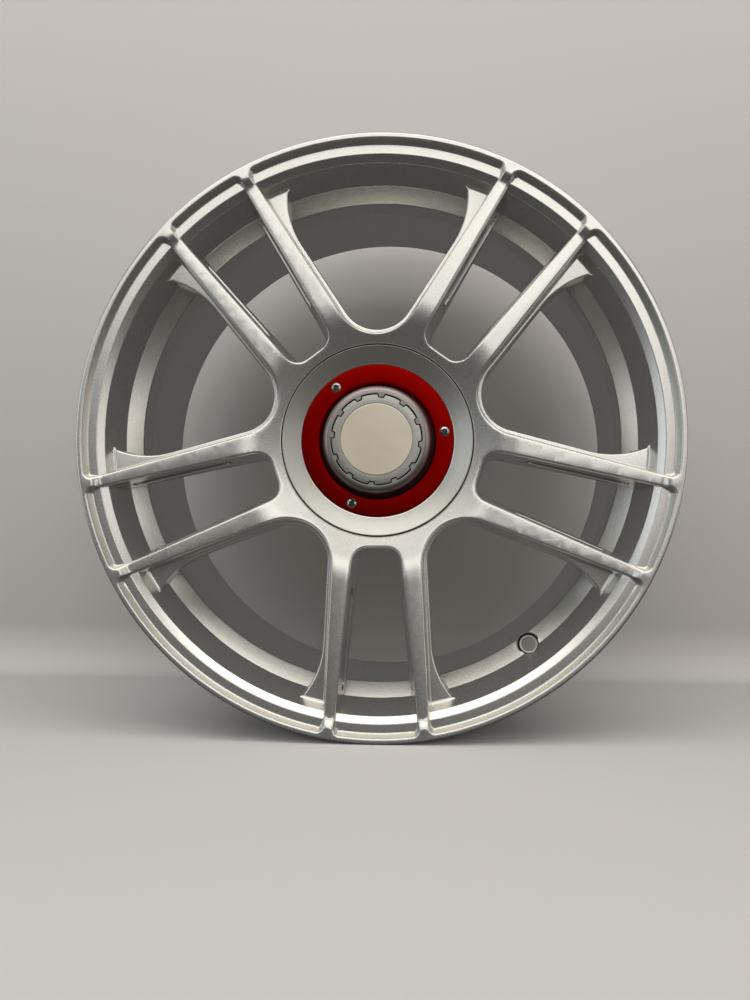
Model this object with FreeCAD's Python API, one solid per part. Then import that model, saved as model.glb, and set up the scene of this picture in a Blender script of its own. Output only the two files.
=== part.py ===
import FreeCAD, Part
import math
import os

# A one-piece cast alloy car wheel for a 17 inch tyre, 8 inches wide, with its hub trim.
# It is modelled with the mounting face on z = 0 and the outboard side towards +Z.
# At the end every piece is stood upright: outboard towards -Y, up along +Z.
# All sizes are in millimetres and all angles in degrees. A "depth" is measured inboard from the lip's front.

# Rim, tyre side
bead_seat_radius = 218.3
rim_width = 203.2
flange_height = 17.5
lip_thickness = 12.4
rear_flange_thickness = 11.0
bead_seat_width = 20.0
bead_seat_taper = 5.0
bead_heel_chamfer = 3.0
hump_height = 1.2
hump_run = 4.0
well_depth = 16.8
well_rear_depth = 73.5
wheel_offset = 40.0
lip_chamfer = 1.4

# Rim, inner side
lip_width = 4.9
lip_wall_draft = 15.0
ledge_depth = 6.5
ledge_width = 9.5
ledge_chamfer = 5.0
bead_wall = 9.8
slope_top_depth = 38.0
well_wall = 4.4
well_slope_wall = 7.7
barrel_wall = 4.0
rear_lip_width = 20.3

# Spoke disc
spoke_pairs = 5
step_width = 13.0
step_run = 5.2
step_drop = 4.5
crest_radius = 103.0
crest_drop = 8.0
crest_round = 60.0
dish_drop = 18.0
spoke_back_at_rim = 36.5
spoke_back_mid_radius = 150.0
spoke_back_at_mid = 40.5
spoke_root_radius = 100.0
spoke_back_at_root = 47.0
rim_bite = 2.2

# Narrow window, inside each pair of spokes
narrow_half_width = 12.3
narrow_spread = 5.34
narrow_inner_round = 13.5
narrow_draft = 7.0
pocket_start = 118.0
pocket_end = 200.0
pocket_depth = 2.6
pocket_top = 20.0
pocket_height = 11.0
pocket_round = 5.0

# Wide window, between pairs of spokes
wide_edge_offset = 29.5
wide_edge_spread = 2.84
wide_inner_round = 35.0
wide_draft = 6.5
wide_lower_draft = 3.0
shelf_depth = 22.0
shelf_width = 3.0
wing_start = 163.5
wing_round = 75.5
window_lip_round = 5.5

# Hub
hub_bore_radius = 36.55
hub_bore_length = 12.0
hub_bore_chamfer = 1.5
pad_radius = 77.0
pad_side_radius = 84.0
pad_side_height = 14.0
pad_thickness = 22.0
hub_wall = 5.9
bolt_circle = 112.0
bolt_count = 5
bolt_hole_radius = 7.5
bolt_seat_radius = 12.0
bolt_seat_angle = 60.0
pad_relief_radius = 13.0
pad_relief_depth = 9.0
clip_groove_depth = 1.2
clip_groove_height = 4.0
edge_chamfer = 0.8

# Valve hole, in the slope of the well, a little off the middle of its window
valve_hole_radius = 5.65
valve_edge_radius = 7.2
valve_face_radius = 8.3
valve_face_sink = 0.8
valve_boss_radius = 9.4
valve_drop = 4.1
valve_tilt = 14.0
valve_turn = 0.6

# Hub trim: cover, red ring, collar, cap, disc, screws and spring
cover_radius = 75.7
cover_gap = 0.8
cover_thickness = 3.0
cover_slope = 26.0
cover_rim_height = 9.0
trim_clearance = 0.35
fit_clearance = 0.2
ring_radius = 60.9
ring_inner_radius = 45.2
ring_depth = 23.8
ring_thickness = 4.0
ring_bevel = 1.8
screw_place = 0.56
screw_count = 3
screw_first_angle = 7.7
screw_radius = 2.5
screw_length = 6.0
screw_head_radius = 4.3
screw_head_height = 2.5
screw_socket_radius = 2.2
screw_socket_depth = 1.5
screw_seat_depth = 1.2
boss_wall = 2.5
skirt_wall = 2.5
skirt_foot_width = 3.0
clip_length = 9.0
clip_count = 8
clip_slot_width = 6.0
collar_radius = 44.2
collar_shoulder_radius = 41.6
collar_round = 5.5
collar_top_depth = 9.5
collar_lip_width = 1.2
collar_inner_radius = 36.0
collar_wall = 3.5
collar_spigot_length = 6.0
cap_gap = 0.7
cap_rim_height = 4.3
cap_wall = 2.2
cap_skirt_length = 10.0
notch_count = 12
notch_first_angle = 23.6
notch_width = 6.0
notch_depth = 2.4
notch_height = 2.2
notch_flank = 25.0
disc_radius = 28.2
disc_recess = 1.2
disc_thickness = 1.6
disc_bevel = 0.6
band_thickness = 1.2
band_height = 3.6
band_opening = 30.0

# Worked out from the sizes above
lip_front = rim_width / 2 + lip_thickness - wheel_offset
front_bead = lip_front - lip_thickness
rear_bead = front_bead - rim_width
rear_face = rear_bead - rear_flange_thickness
flange_radius = bead_seat_radius + flange_height
lip_wall_radius = flange_radius - lip_width
ledge_radius = lip_wall_radius - ledge_width
cone_radius = ledge_radius - ledge_chamfer
cone_front = lip_front - ledge_depth - ledge_chamfer
slope_top_radius = bead_seat_radius - bead_wall
slope_top = lip_front - slope_top_depth
valve_place_radius = slope_top_radius - valve_drop
well_radius = bead_seat_radius - well_depth
well_inner_radius = well_radius - well_wall
slope_foot = slope_top - (slope_top_radius - well_inner_radius)
well_rear = lip_front - well_rear_depth
recess_radius = cover_radius + cover_gap
window_inner_radius = recess_radius + hub_wall
pair_angle = 360.0 / spoke_pairs
first_pair = 270.0
first_wide_window = first_pair + pair_angle / 2
valve_angle = first_wide_window + valve_turn
clip_bore_radius = hub_bore_radius + skirt_wall - trim_clearance
skirt_radius = clip_bore_radius - fit_clearance
skirt_inner_radius = skirt_radius - skirt_wall
ring_top = lip_front - ring_depth
ring_seat = ring_top - ring_thickness
screw_circle_radius = ring_inner_radius + (ring_radius - ring_inner_radius) * screw_place
collar_top = lip_front - collar_top_depth
cap_seat = collar_top - cap_rim_height
over = 2.0

AXIS = FreeCAD.Vector(0, 0, 1)
ORIGIN = FreeCAD.Vector(0, 0, 0)


def tan(angle):
    return math.tan(math.radians(angle))


def vec(point, z=0.0):
    """A plan point (x, y) as a vector at height z."""
    return FreeCAD.Vector(point[0], point[1], z)


def polar(radius, angle):
    """The plan point at a radius and an angle."""
    a = math.radians(angle)
    return (radius * math.cos(a), radius * math.sin(a))


def revolve(section, turn=360.0):
    """Solid turned about the wheel's axis from a closed section of (radius, z) corners."""
    corners = [FreeCAD.Vector(r, 0, z) for r, z in section]
    wire = Part.makePolygon(corners + corners[:1])
    return Part.Face(wire).revolve(ORIGIN, AXIS, turn)


def revolve_rounded(section, rounds):
    """As revolve, with an arc of the given radius at each corner whose index is in rounds."""
    edges = []
    count = len(section)
    points = [FreeCAD.Vector(r, 0, z) for r, z in section]
    starts, ends, arcs = [], [], []
    for i, corner in enumerate(points):
        into = (points[i - 1] - corner).normalize()
        out = (points[(i + 1) % count] - corner).normalize()
        half = into.getAngle(out) / 2
        reach = rounds.get(i, 0.0) / math.tan(half)
        starts.append(corner + into * reach)
        ends.append(corner + out * reach)
        middle = (into + out).normalize() * (rounds.get(i, 0.0) * (1 / math.sin(half) - 1))
        arcs.append(corner + middle)
    for i in range(count):
        if i in rounds:
            edges.append(Part.Arc(starts[i], arcs[i], ends[i]).toShape())
        edges.append(Part.LineSegment(ends[i], starts[(i + 1) % count]).toShape())
    return Part.Face(Part.Wire(edges)).revolve(ORIGIN, AXIS, 360)


def cylinder(radius, low, high, at=(0.0, 0.0)):
    return Part.makeCylinder(radius, high - low, vec(at, low))


def prism(points, low, high):
    """Straight-sided solid between two heights from a closed plan outline of corners."""
    corners = [vec(p, low) for p in points]
    face = Part.Face(Part.makePolygon(corners + corners[:1]))
    return face.extrude(FreeCAD.Vector(0, 0, high - low))


def turned(shape, angle):
    copy = shape.copy()
    copy.rotate(ORIGIN, AXIS, angle)
    return copy


def around(shape, count, first):
    """Copies of a shape made on the +X axis, evenly spaced about the wheel's axis."""
    return [turned(shape, first + i * 360.0 / count) for i in range(count)]


def arc(start, through, end, z):
    return Part.Arc(vec(start, z), vec(through, z), vec(end, z)).toShape()


def line(start, end, z):
    return Part.LineSegment(vec(start, z), vec(end, z)).toShape()


def mirrored(point):
    return (point[0], -point[1])


class Edge:
    """One long side of a window that opens along +X: a straight line beside a spoke.

    The line leans away from the window's axis by `lean` and passes the wheel's axis at the distance `gap`,
    which is negative where the line starts on the window's side of the wheel's axis.
    """

    def __init__(self, lean, gap):
        self.along = polar(1.0, lean)
        self.away = polar(1.0, lean + 90.0)
        self.gap = gap

    def point(self, reach, inward=0.0):
        """The plan point at a distance along the line, moved into the window by inward."""
        side = -(self.gap + inward)
        return tuple(reach * a + side * n for a, n in zip(self.along, self.away))

    def round_centre(self, radius, circle):
        """Centre of the arc of a radius that touches the line and, from inside, a circle about the axis."""
        reach = math.sqrt((circle - radius) ** 2 - (self.gap + radius) ** 2)
        return self.point(reach, radius)

    def touch(self, centre, radius):
        """Where an arc about a centre inside the window touches the line."""
        return tuple(c + radius * n for c, n in zip(centre, self.away))


def scaled(point, length):
    """The plan point pushed out along its own radius by a length."""
    factor = 1 + length / math.hypot(*point)
    return (point[0] * factor, point[1] * factor)


def outer_end(edge, circle, z):
    """Rim end of a window: the two rounded corners and the arc between them, from +Y round to -Y."""
    centre = edge.round_centre(window_lip_round, circle)
    on_line = edge.touch(centre, window_lip_round)
    on_circle = scaled(centre, window_lip_round)
    spread = tuple((a + b) / 2 - c for a, b, c in zip(on_line, on_circle, centre))
    bulge = window_lip_round / math.hypot(*spread)
    middle = tuple(c + s * bulge for c, s in zip(centre, spread))
    corner = arc(on_line, middle, on_circle, z)
    rim = arc(on_circle, (circle, 0.0), mirrored(on_circle), z)
    back = arc(mirrored(on_circle), mirrored(middle), mirrored(on_line), z)
    return on_line, [corner, rim, back]


def narrow_outline(inward, inner, inner_round, circle, z):
    """Window between the two spokes of a pair: two spreading sides and a flat, round-cornered inner end."""
    edge = Edge(narrow_spread, inward - narrow_half_width * math.cos(math.radians(narrow_spread)))
    sine, cosine = edge.along[1], edge.along[0]
    centre_x = inner + inner_round
    centre_y = (centre_x * sine - edge.gap - inner_round) / cosine
    centre = (centre_x, centre_y)
    on_side = edge.touch(centre, inner_round)
    on_end = (inner, centre_y)
    turn = (180.0 + narrow_spread + 90.0) / 2
    middle = tuple(c + m for c, m in zip(centre, polar(inner_round, turn)))
    rim_corner, rim = outer_end(edge, circle, z)
    side = line(on_side, rim_corner, z)
    back = line(mirrored(rim_corner), mirrored(on_side), z)
    low_corner = arc(mirrored(on_side), mirrored(middle), mirrored(on_end), z)
    end = line(mirrored(on_end), on_end, z)
    corner = arc(on_end, middle, on_side, z)
    return Part.Wire([side] + rim + [back, low_corner, end, corner])


def wide_edge(inward):
    return Edge(pair_angle / 2 - wide_edge_spread, wide_edge_offset + inward)


def wide_inner_end(edge, inward, z):
    """Round inner end of a wide window, between its touch points on the two sides."""
    radius = wide_inner_round - inward
    centre = ((edge.gap + radius) / edge.along[1], 0.0)
    touch = edge.touch(centre, radius)
    return touch, arc(mirrored(touch), (centre[0] - radius, 0.0), touch, z)


def wide_outline(inward, circle, z):
    """Front outline of a wide window: two straight sides, a round inner end and round rim corners."""
    edge = wide_edge(inward)
    touch, inner = wide_inner_end(edge, inward, z)
    rim_corner, rim = outer_end(edge, circle, z)
    side = line(touch, rim_corner, z)
    back = line(mirrored(rim_corner), mirrored(touch), z)
    return Part.Wire([side] + rim + [back, inner])


def winged_outline(inward, circle, z):
    """Outline below the shelf of a wide window: near the rim each side sweeps into the window as a wing."""
    edge = wide_edge(inward)
    touch, inner = wide_inner_end(edge, inward, z)
    radius = wing_round - inward
    start = edge.point(wing_start)
    centre = edge.point(wing_start, radius)
    away = math.hypot(*centre)
    to_rim = math.acos((radius**2 + away**2 - circle**2) / (2 * radius * away))
    to_axis = math.atan2(-centre[1], -centre[0])
    start_angle = math.degrees(math.atan2(edge.away[1], edge.away[0]))
    tip_angle = start_angle - (start_angle - math.degrees(to_axis - to_rim)) % 360.0
    tip = tuple(c + t for c, t in zip(centre, polar(radius, tip_angle)))
    middle = tuple(c + m for c, m in zip(centre, polar(radius, (start_angle + tip_angle) / 2)))
    side = line(touch, start, z)
    wing = arc(start, middle, tip, z)
    rim = arc(tip, (circle, 0.0), mirrored(tip), z)
    low_wing = arc(mirrored(tip), mirrored(middle), mirrored(start), z)
    back = line(mirrored(start), mirrored(touch), z)
    return Part.Wire([side, wing, rim, low_wing, back, inner])


def loft(wires):
    return Part.makeLoft(wires, True, True)


def rim():
    """Ring that carries the tyre: lip, bead seats, humps, well and barrel, as one turned section."""
    taper = bead_seat_width * tan(bead_seat_taper)
    seat_end = bead_seat_radius - taper
    hump = seat_end + hump_height
    front_seat_end = front_bead - bead_seat_width
    rear_seat_end = rear_bead + bead_seat_width
    front_hump_end = front_seat_end - 2 * hump_run
    outer_slope = math.sqrt(2) * well_slope_wall
    well_front = slope_foot - outer_slope + well_wall
    rear_barrel_radius = seat_end - barrel_wall
    section = [
        (lip_wall_radius + rim_bite / 2, lip_front),
        (flange_radius - lip_chamfer, lip_front),
        (flange_radius, lip_front - lip_chamfer),
        (flange_radius, front_bead + lip_chamfer),
        (flange_radius - lip_chamfer, front_bead),
        (bead_seat_radius + bead_heel_chamfer, front_bead),
        (bead_seat_radius, front_bead - bead_heel_chamfer),
        (seat_end, front_seat_end),
        (hump, front_seat_end - hump_run),
        (seat_end, front_hump_end),
        (well_radius, well_front),
        (well_radius, well_rear),
        (seat_end, rear_seat_end + 2 * hump_run),
        (hump, rear_seat_end + hump_run),
        (seat_end, rear_seat_end),
        (bead_seat_radius, rear_bead + bead_heel_chamfer),
        (bead_seat_radius + bead_heel_chamfer, rear_bead),
        (flange_radius - lip_chamfer, rear_bead),
        (flange_radius, rear_bead - lip_chamfer),
        (flange_radius, rear_face + lip_chamfer),
        (flange_radius - lip_chamfer, rear_face),
        (flange_radius - rear_lip_width, rear_face),
        (rear_barrel_radius, rear_seat_end),
        (well_inner_radius, well_rear),
        (well_inner_radius, slope_foot),
        (slope_top_radius, slope_top),
        (cone_radius, cone_front),
        (ledge_radius, lip_front - ledge_depth),
        (lip_wall_radius + rim_bite / 2, lip_front - ledge_depth),
    ]
    return revolve(section)


def spoke_disc():
    """Full disc from the hub to the lip, with the front and back of the spokes and the hub's recesses."""
    step_top = flange_radius - step_width + step_run / 2
    bite = lip_wall_radius + rim_bite
    groove_low = pad_thickness - clip_length + fit_clearance
    section = [
        (hub_bore_radius, hub_bore_chamfer),
        (hub_bore_radius, hub_bore_length),
        (clip_bore_radius, hub_bore_length),
        (clip_bore_radius, groove_low),
        (clip_bore_radius + clip_groove_depth, groove_low),
        (clip_bore_radius + clip_groove_depth, groove_low + clip_groove_height),
        (clip_bore_radius, groove_low + clip_groove_height),
        (clip_bore_radius, pad_thickness),
        (recess_radius, pad_thickness),
        (recess_radius, lip_front - dish_drop - edge_chamfer),
        (recess_radius + edge_chamfer, lip_front - dish_drop),
        (crest_radius, lip_front - crest_drop),
        (step_top - step_run, lip_front - step_drop),
        (step_top, lip_front),
        (bite, lip_front),
        (bite, lip_front - ledge_depth - rim_bite),
        (cone_radius + rim_bite, cone_front - rim_bite),
        (slope_top_radius + rim_bite, lip_front - spoke_back_at_rim),
        (spoke_back_mid_radius, lip_front - spoke_back_at_mid),
        (spoke_root_radius, lip_front - spoke_back_at_root),
        (pad_side_radius, pad_side_height),
        (pad_radius, 0.0),
        (hub_bore_radius + hub_bore_chamfer, 0.0),
    ]
    return revolve_rounded(section, {11: crest_round})


def narrow_window():
    """Drafted opening between the spokes of a pair, with the long pocket milled into each spoke's side."""
    slope = tan(narrow_draft)
    wall_slope = tan(lip_wall_draft)

    def outline(depth):
        inward = slope * depth
        circle = lip_wall_radius - wall_slope * depth
        inner_round = narrow_inner_round - inward
        return narrow_outline(inward, window_inner_radius + inward, inner_round, circle, lip_front - depth)

    opening = loft([outline(-over), outline(lip_front)])
    low = lip_front - pocket_top - pocket_height
    pocket_inward = slope * (pocket_top + pocket_height / 2) - pocket_depth
    floor = narrow_outline(pocket_inward, pocket_start, pocket_round, pocket_end, low)
    pocket = Part.Face(floor).extrude(FreeCAD.Vector(0, 0, pocket_height))
    return [opening, pocket]


def wide_window():
    """Opening between two pairs: a drafted front, a narrow shelf, and a smaller opening with wings below it."""
    wall_slope = tan(lip_wall_draft)

    def front(depth):
        return wide_outline(tan(wide_draft) * depth, lip_wall_radius - wall_slope * depth, lip_front - depth)

    def rear(depth):
        inward = tan(wide_draft) * shelf_depth + shelf_width + tan(wide_lower_draft) * (depth - shelf_depth)
        return winged_outline(inward, ledge_radius, lip_front - depth)

    upper = loft([front(-over), front(shelf_depth)])
    lower = loft([rear(shelf_depth - over), rear(lip_front)])
    return [upper, lower]


def bolt_hole():
    """Through hole for a wheel bolt, with its tapered seat at the front of the pad."""
    at = (bolt_circle / 2, 0.0)
    hole = cylinder(bolt_hole_radius, -over, pad_thickness + over, at)
    depth = (bolt_seat_radius - bolt_hole_radius) / tan(bolt_seat_angle / 2)
    seat = Part.makeCone(bolt_hole_radius, bolt_seat_radius, depth, vec(at, pad_thickness - depth))
    return hole.fuse(seat)


def pad_relief():
    """Shallow round-ended pocket in the mounting face between two bolt holes, open to the pad's side."""
    mouth = pad_side_radius + over
    inner = pad_radius - pad_relief_radius
    slot = cylinder(pad_relief_radius, -over, pad_relief_depth, (inner + pad_relief_radius, 0.0))
    corners = [
        (inner + pad_relief_radius, -pad_relief_radius),
        (mouth, -pad_relief_radius),
        (mouth, pad_relief_radius),
        (inner + pad_relief_radius, pad_relief_radius),
    ]
    return slot.fuse(prism(corners, -over, pad_relief_depth))


def valve_line():
    """Middle of the valve's seat, on the slope of the well, and the direction it faces, leaning to the hub."""
    lean = math.radians(valve_tilt)
    middle = FreeCAD.Vector(valve_place_radius, 0, slope_top - slope_top_radius + valve_place_radius)
    return middle, FreeCAD.Vector(-math.sin(lean), 0, math.cos(lean))


def valve_boss():
    """Low round boss on the slope of the well, rooted just under the slope's surface, for the valve's seat."""
    middle, forward = valve_line()
    root = 2 * valve_boss_radius
    post = Part.makeCylinder(valve_boss_radius, root + valve_face_sink, middle - forward * root, forward)
    outer = slope_top_radius + rim_bite + root
    inner = well_inner_radius + rim_bite - root
    return post.common(revolve([(outer, slope_top + root), (inner, slope_foot - root), (inner, slope_top + root)]))


def valve_hole():
    """Valve hole with a countersunk edge, and the flat seat round it, sunk into the boss and the slope."""
    middle, forward = valve_line()
    through = 3 * well_slope_wall
    hole = Part.makeCylinder(valve_hole_radius, 2 * through, middle - forward * through, forward)
    face = Part.makeCylinder(valve_face_radius, through, middle, forward)
    edge = valve_edge_radius - valve_hole_radius
    countersink = Part.makeCone(valve_hole_radius, valve_edge_radius, edge, middle - forward * edge, forward)
    return hole.fuse([countersink, face])


def wheel():
    """The casting: rim, spokes and hub in one piece."""
    cutters = []
    for tool in narrow_window():
        cutters += around(tool, spoke_pairs, first_pair)
    for tool in wide_window():
        cutters += around(tool, spoke_pairs, first_wide_window)
    cutters += around(bolt_hole(), bolt_count, first_pair)
    cutters += around(pad_relief(), bolt_count, first_pair + 180.0 / bolt_count)
    spokes = spoke_disc().cut(cutters)
    casting = rim().fuse([spokes, turned(valve_boss(), valve_angle)]).removeSplitter()
    return casting.cut(turned(valve_hole(), valve_angle))


def hub_cover():
    """Dished cover over the wheel bolts. Its foot stands on the pad and its clips snap into the clip bore."""
    edge = lip_front - dish_drop
    pocket = ring_radius + trim_clearance
    slope = tan(cover_slope)
    pocket_top = edge - (cover_radius - edge_chamfer - pocket) * slope
    floor = ring_seat - cover_thickness
    foot = skirt_radius + skirt_foot_width
    clip_end = pad_thickness - clip_length
    barb_low = clip_end + 2 * fit_clearance
    barb = clip_groove_depth - fit_clearance
    barb_top = barb_low + clip_groove_height - 2 * fit_clearance
    rim_inner = cover_radius - cover_thickness
    section = [
        (skirt_inner_radius, clip_end),
        (skirt_radius, clip_end),
        (skirt_radius + barb, barb_low + barb),
        (skirt_radius + barb, barb_top),
        (skirt_radius, barb_top),
        (skirt_radius, pad_thickness),
        (foot, pad_thickness),
        (foot, floor),
        (pocket, floor),
        (rim_inner, floor + (rim_inner - pocket) * slope),
        (rim_inner, edge - cover_rim_height),
        (cover_radius, edge - cover_rim_height),
        (cover_radius, edge - edge_chamfer),
        (cover_radius - edge_chamfer, edge),
        (pocket, pocket_top),
        (pocket, ring_seat),
        (skirt_inner_radius, ring_seat),
    ]
    cover = revolve(section)
    slot_half = clip_slot_width / 2
    slot_end = foot + over
    corners = [(0.0, -slot_half), (slot_end, -slot_half), (slot_end, slot_half), (0.0, slot_half)]
    slot = prism(corners, clip_end - over, pad_thickness - fit_clearance)
    cover = cover.cut(around(slot, clip_count, 0.0))
    at = (screw_circle_radius, 0.0)
    boss_low = ring_top - screw_seat_depth - screw_length - boss_wall
    boss = cylinder(screw_radius + boss_wall, boss_low, floor + cover_thickness / 2, at)
    cover = cover.fuse(around(boss, screw_count, screw_first_angle)).removeSplitter()
    tapped = cylinder(screw_radius + fit_clearance, boss_low + boss_wall - fit_clearance, ring_seat + over, at)
    return cover.cut(around(tapped, screw_count, screw_first_angle))


def trim_ring():
    """Flat anodised ring, bevelled at its edges, with three seats for its screws."""
    section = [
        (ring_inner_radius, ring_seat),
        (ring_radius, ring_seat),
        (ring_radius, ring_top - edge_chamfer),
        (ring_radius - edge_chamfer, ring_top),
        (ring_inner_radius + ring_bevel, ring_top),
        (ring_inner_radius, ring_top - ring_bevel),
    ]
    at = (screw_circle_radius, 0.0)
    hole = cylinder(screw_radius + fit_clearance, ring_seat - over, ring_top + over, at)
    seat = cylinder(screw_head_radius + trim_clearance, ring_top - screw_seat_depth, ring_top + over, at)
    return revolve(section).cut(around(hole.fuse(seat), screw_count, screw_first_angle))


def ring_screws():
    """Button-head socket screws that hold the ring to the cover."""
    seat = ring_top - screw_seat_depth
    at = (screw_circle_radius, 0.0)
    top = seat + screw_head_height
    sphere_radius = (screw_head_radius**2 + screw_head_height**2) / (2 * screw_head_height)
    ball = Part.makeSphere(sphere_radius, vec(at, top - sphere_radius))
    head = cylinder(screw_head_radius, seat, top + over, at).common(ball)
    shank = cylinder(screw_radius, seat - screw_length, seat + screw_head_height / 4, at)
    hexagon = [polar(screw_socket_radius, 60.0 * i) for i in range(6)]
    corners = [(x + at[0], y) for x, y in hexagon]
    socket = prism(corners, top - screw_socket_depth, top + over)
    screw = head.fuse(shank).removeSplitter().cut(socket)
    return Part.makeCompound(around(screw, screw_count, screw_first_angle))


def notch(clearance, low, high):
    """Tapered block between the collar's inner edge and a notch's floor, grown all round by a clearance."""
    half = notch_width / 2 + clearance
    floor = collar_inner_radius - notch_depth - clearance
    edge = collar_inner_radius + collar_lip_width / 2
    narrow = half - (edge - floor) * tan(notch_flank)
    return prism([(floor, -narrow), (edge, -half), (edge, half), (floor, narrow)], low, high)


def lock_collar():
    """Round-shouldered collar in the middle of the ring, with small inward tabs round its front edge."""
    bore = collar_inner_radius - collar_wall
    spigot = skirt_inner_radius - fit_clearance
    spigot_end = ring_seat - collar_spigot_length
    section = [
        (bore, spigot_end),
        (spigot, spigot_end),
        (spigot, ring_seat),
        (collar_radius, ring_seat),
        (collar_shoulder_radius, collar_top),
        (collar_inner_radius, collar_top),
        (collar_inner_radius, cap_seat),
        (bore, cap_seat),
    ]
    tab = notch(0.0, collar_top - notch_height, collar_top)
    collar = revolve_rounded(section, {4: collar_round})
    return collar.fuse(around(tab, notch_count, notch_first_angle)).removeSplitter()


def centre_cap():
    """Cap in the collar's mouth: a notched rim, a skirt in the bore and a shallow recess for the disc."""
    bore = collar_inner_radius - collar_wall
    skirt = bore - fit_clearance
    rim_radius = collar_inner_radius - cap_gap
    section = [
        (0.0, cap_seat - cap_wall + disc_recess),
        (skirt - cap_wall, cap_seat - cap_wall + disc_recess),
        (skirt - cap_wall, cap_seat - cap_skirt_length),
        (skirt, cap_seat - cap_skirt_length),
        (skirt, cap_seat),
        (rim_radius, cap_seat),
        (rim_radius, collar_top),
        (disc_radius + fit_clearance, collar_top),
        (disc_radius + fit_clearance, collar_top - disc_recess),
        (0.0, collar_top - disc_recess),
    ]
    cut = notch(cap_gap, collar_top - notch_height - cap_gap, collar_top + over)
    return revolve(section).cut(around(cut, notch_count, notch_first_angle))


def cap_disc():
    """Plain disc with a bevelled edge, bonded into the cap's recess."""
    low = collar_top - disc_recess
    top = low + disc_thickness
    section = [
        (0.0, low),
        (disc_radius, low),
        (disc_radius, top - disc_bevel),
        (disc_radius - disc_bevel, top),
        (0.0, top),
    ]
    return revolve(section)


def clip_spring():
    """Open band of spring steel that presses the cover's clips outwards into their groove."""
    outer = skirt_inner_radius - fit_clearance / 2
    inner = outer - band_thickness
    middle = pad_thickness - clip_length / 2
    low = middle - band_height / 2
    high = middle + band_height / 2
    band = revolve([(inner, low), (outer, low), (outer, high), (inner, high)], 360.0 - band_opening)
    return turned(band, band_opening / 2)


pieces = {
    "wheel": wheel,
    "hub_cover": hub_cover,
    "trim_ring": trim_ring,
    "ring_screws": ring_screws,
    "lock_collar": lock_collar,
    "centre_cap": centre_cap,
    "cap_disc": cap_disc,
    "clip_spring": clip_spring,
}

os.makedirs("parts", exist_ok=True)
for name, make in pieces.items():
    shape = make()
    shape.rotate(ORIGIN, FreeCAD.Vector(1, 0, 0), 90)
    print(name, "valid", shape.isValid(), "solids", len(shape.Solids), "volume", round(shape.Volume))
    shape.exportStep(os.path.join("parts", name + ".step"))
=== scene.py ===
# %% [markdown]
# # A cast alloy car wheel
# The wheel is one aluminium casting: a rim that carries the tyre, five pairs of spokes and a hub. A dished
# cover, a red ring, a grey collar and a plain cap trim the hub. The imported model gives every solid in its
# true place, with sharp edges. A painted casting has none: each edge is rounded, and the light runs along
# it. So this lesson works the casting's surfaces out again with numpy, rounds included, and gives every
# piece its finish.

# %% load the frame
import bpy
import bmesh
import math
import numpy as np
from mathutils import Matrix, Vector
from mathutils.geometry import delaunay_2d_cdt


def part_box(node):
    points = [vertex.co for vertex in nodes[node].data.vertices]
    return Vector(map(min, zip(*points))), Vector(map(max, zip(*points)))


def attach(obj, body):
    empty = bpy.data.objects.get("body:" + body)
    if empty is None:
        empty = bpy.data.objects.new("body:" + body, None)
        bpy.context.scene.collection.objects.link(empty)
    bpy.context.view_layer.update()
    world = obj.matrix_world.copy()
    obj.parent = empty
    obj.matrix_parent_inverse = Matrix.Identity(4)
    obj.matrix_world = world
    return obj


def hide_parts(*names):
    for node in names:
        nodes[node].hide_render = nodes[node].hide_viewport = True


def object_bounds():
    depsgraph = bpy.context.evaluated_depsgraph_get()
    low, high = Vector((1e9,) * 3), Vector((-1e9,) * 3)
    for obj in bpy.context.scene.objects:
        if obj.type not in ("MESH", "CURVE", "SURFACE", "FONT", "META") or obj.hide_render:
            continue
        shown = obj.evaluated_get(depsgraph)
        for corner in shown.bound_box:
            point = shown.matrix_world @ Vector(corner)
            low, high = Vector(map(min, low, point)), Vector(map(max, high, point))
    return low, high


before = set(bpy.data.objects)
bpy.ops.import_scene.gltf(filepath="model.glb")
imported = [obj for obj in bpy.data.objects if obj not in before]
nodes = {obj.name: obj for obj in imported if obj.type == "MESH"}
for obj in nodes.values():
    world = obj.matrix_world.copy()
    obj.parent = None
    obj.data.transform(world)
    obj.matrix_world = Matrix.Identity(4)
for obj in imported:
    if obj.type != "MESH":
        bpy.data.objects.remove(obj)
cad_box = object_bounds()
print("nodes:", sorted(nodes))

# %% [markdown]
# ## Sizes
# The casting is described the way it is drawn: a plan seen from the front, in millimetres, and a depth
# behind the front of the lip. The lip's place and radius and the depth of the rim come from the frame, and
# the other sizes are those of the solids.

# %% sizes of the casting, in millimetres and degrees
MM = 0.001
LIP_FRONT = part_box("wheel")[0].y / MM
FLANGE_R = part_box("wheel")[1].x / MM
REAR_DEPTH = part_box("wheel")[1].y / MM - LIP_FRONT
PAIRS = 5
PAIR_ANGLE = 360.0 / PAIRS
FIRST_NARROW = 270.0
FIRST_WIDE = FIRST_NARROW + PAIR_ANGLE / 2

LIP_WALL_R = FLANGE_R - 4.9
LEDGE_R = LIP_WALL_R - 9.5
LEDGE_DEPTH = 6.5
CONE_R = LEDGE_R - 5.0
CONE_DEPTH = LEDGE_DEPTH + 5.0
SLOPE_R = 208.5
SLOPE_DEPTH = 38.0
WELL_R = 197.1
WELL_DEPTH = SLOPE_DEPTH + SLOPE_R - WELL_R
SEAT_R = 218.3
RECESS_R = 76.5
PAD_DEPTH = 52.0
FACE_DEPTH = -LIP_FRONT

EDGE_ROUND = 1.7
BACK_ROUND = 1.5
SHELF_DEPTH = 22.0
SHELF_WIDTH = 3.0

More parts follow.
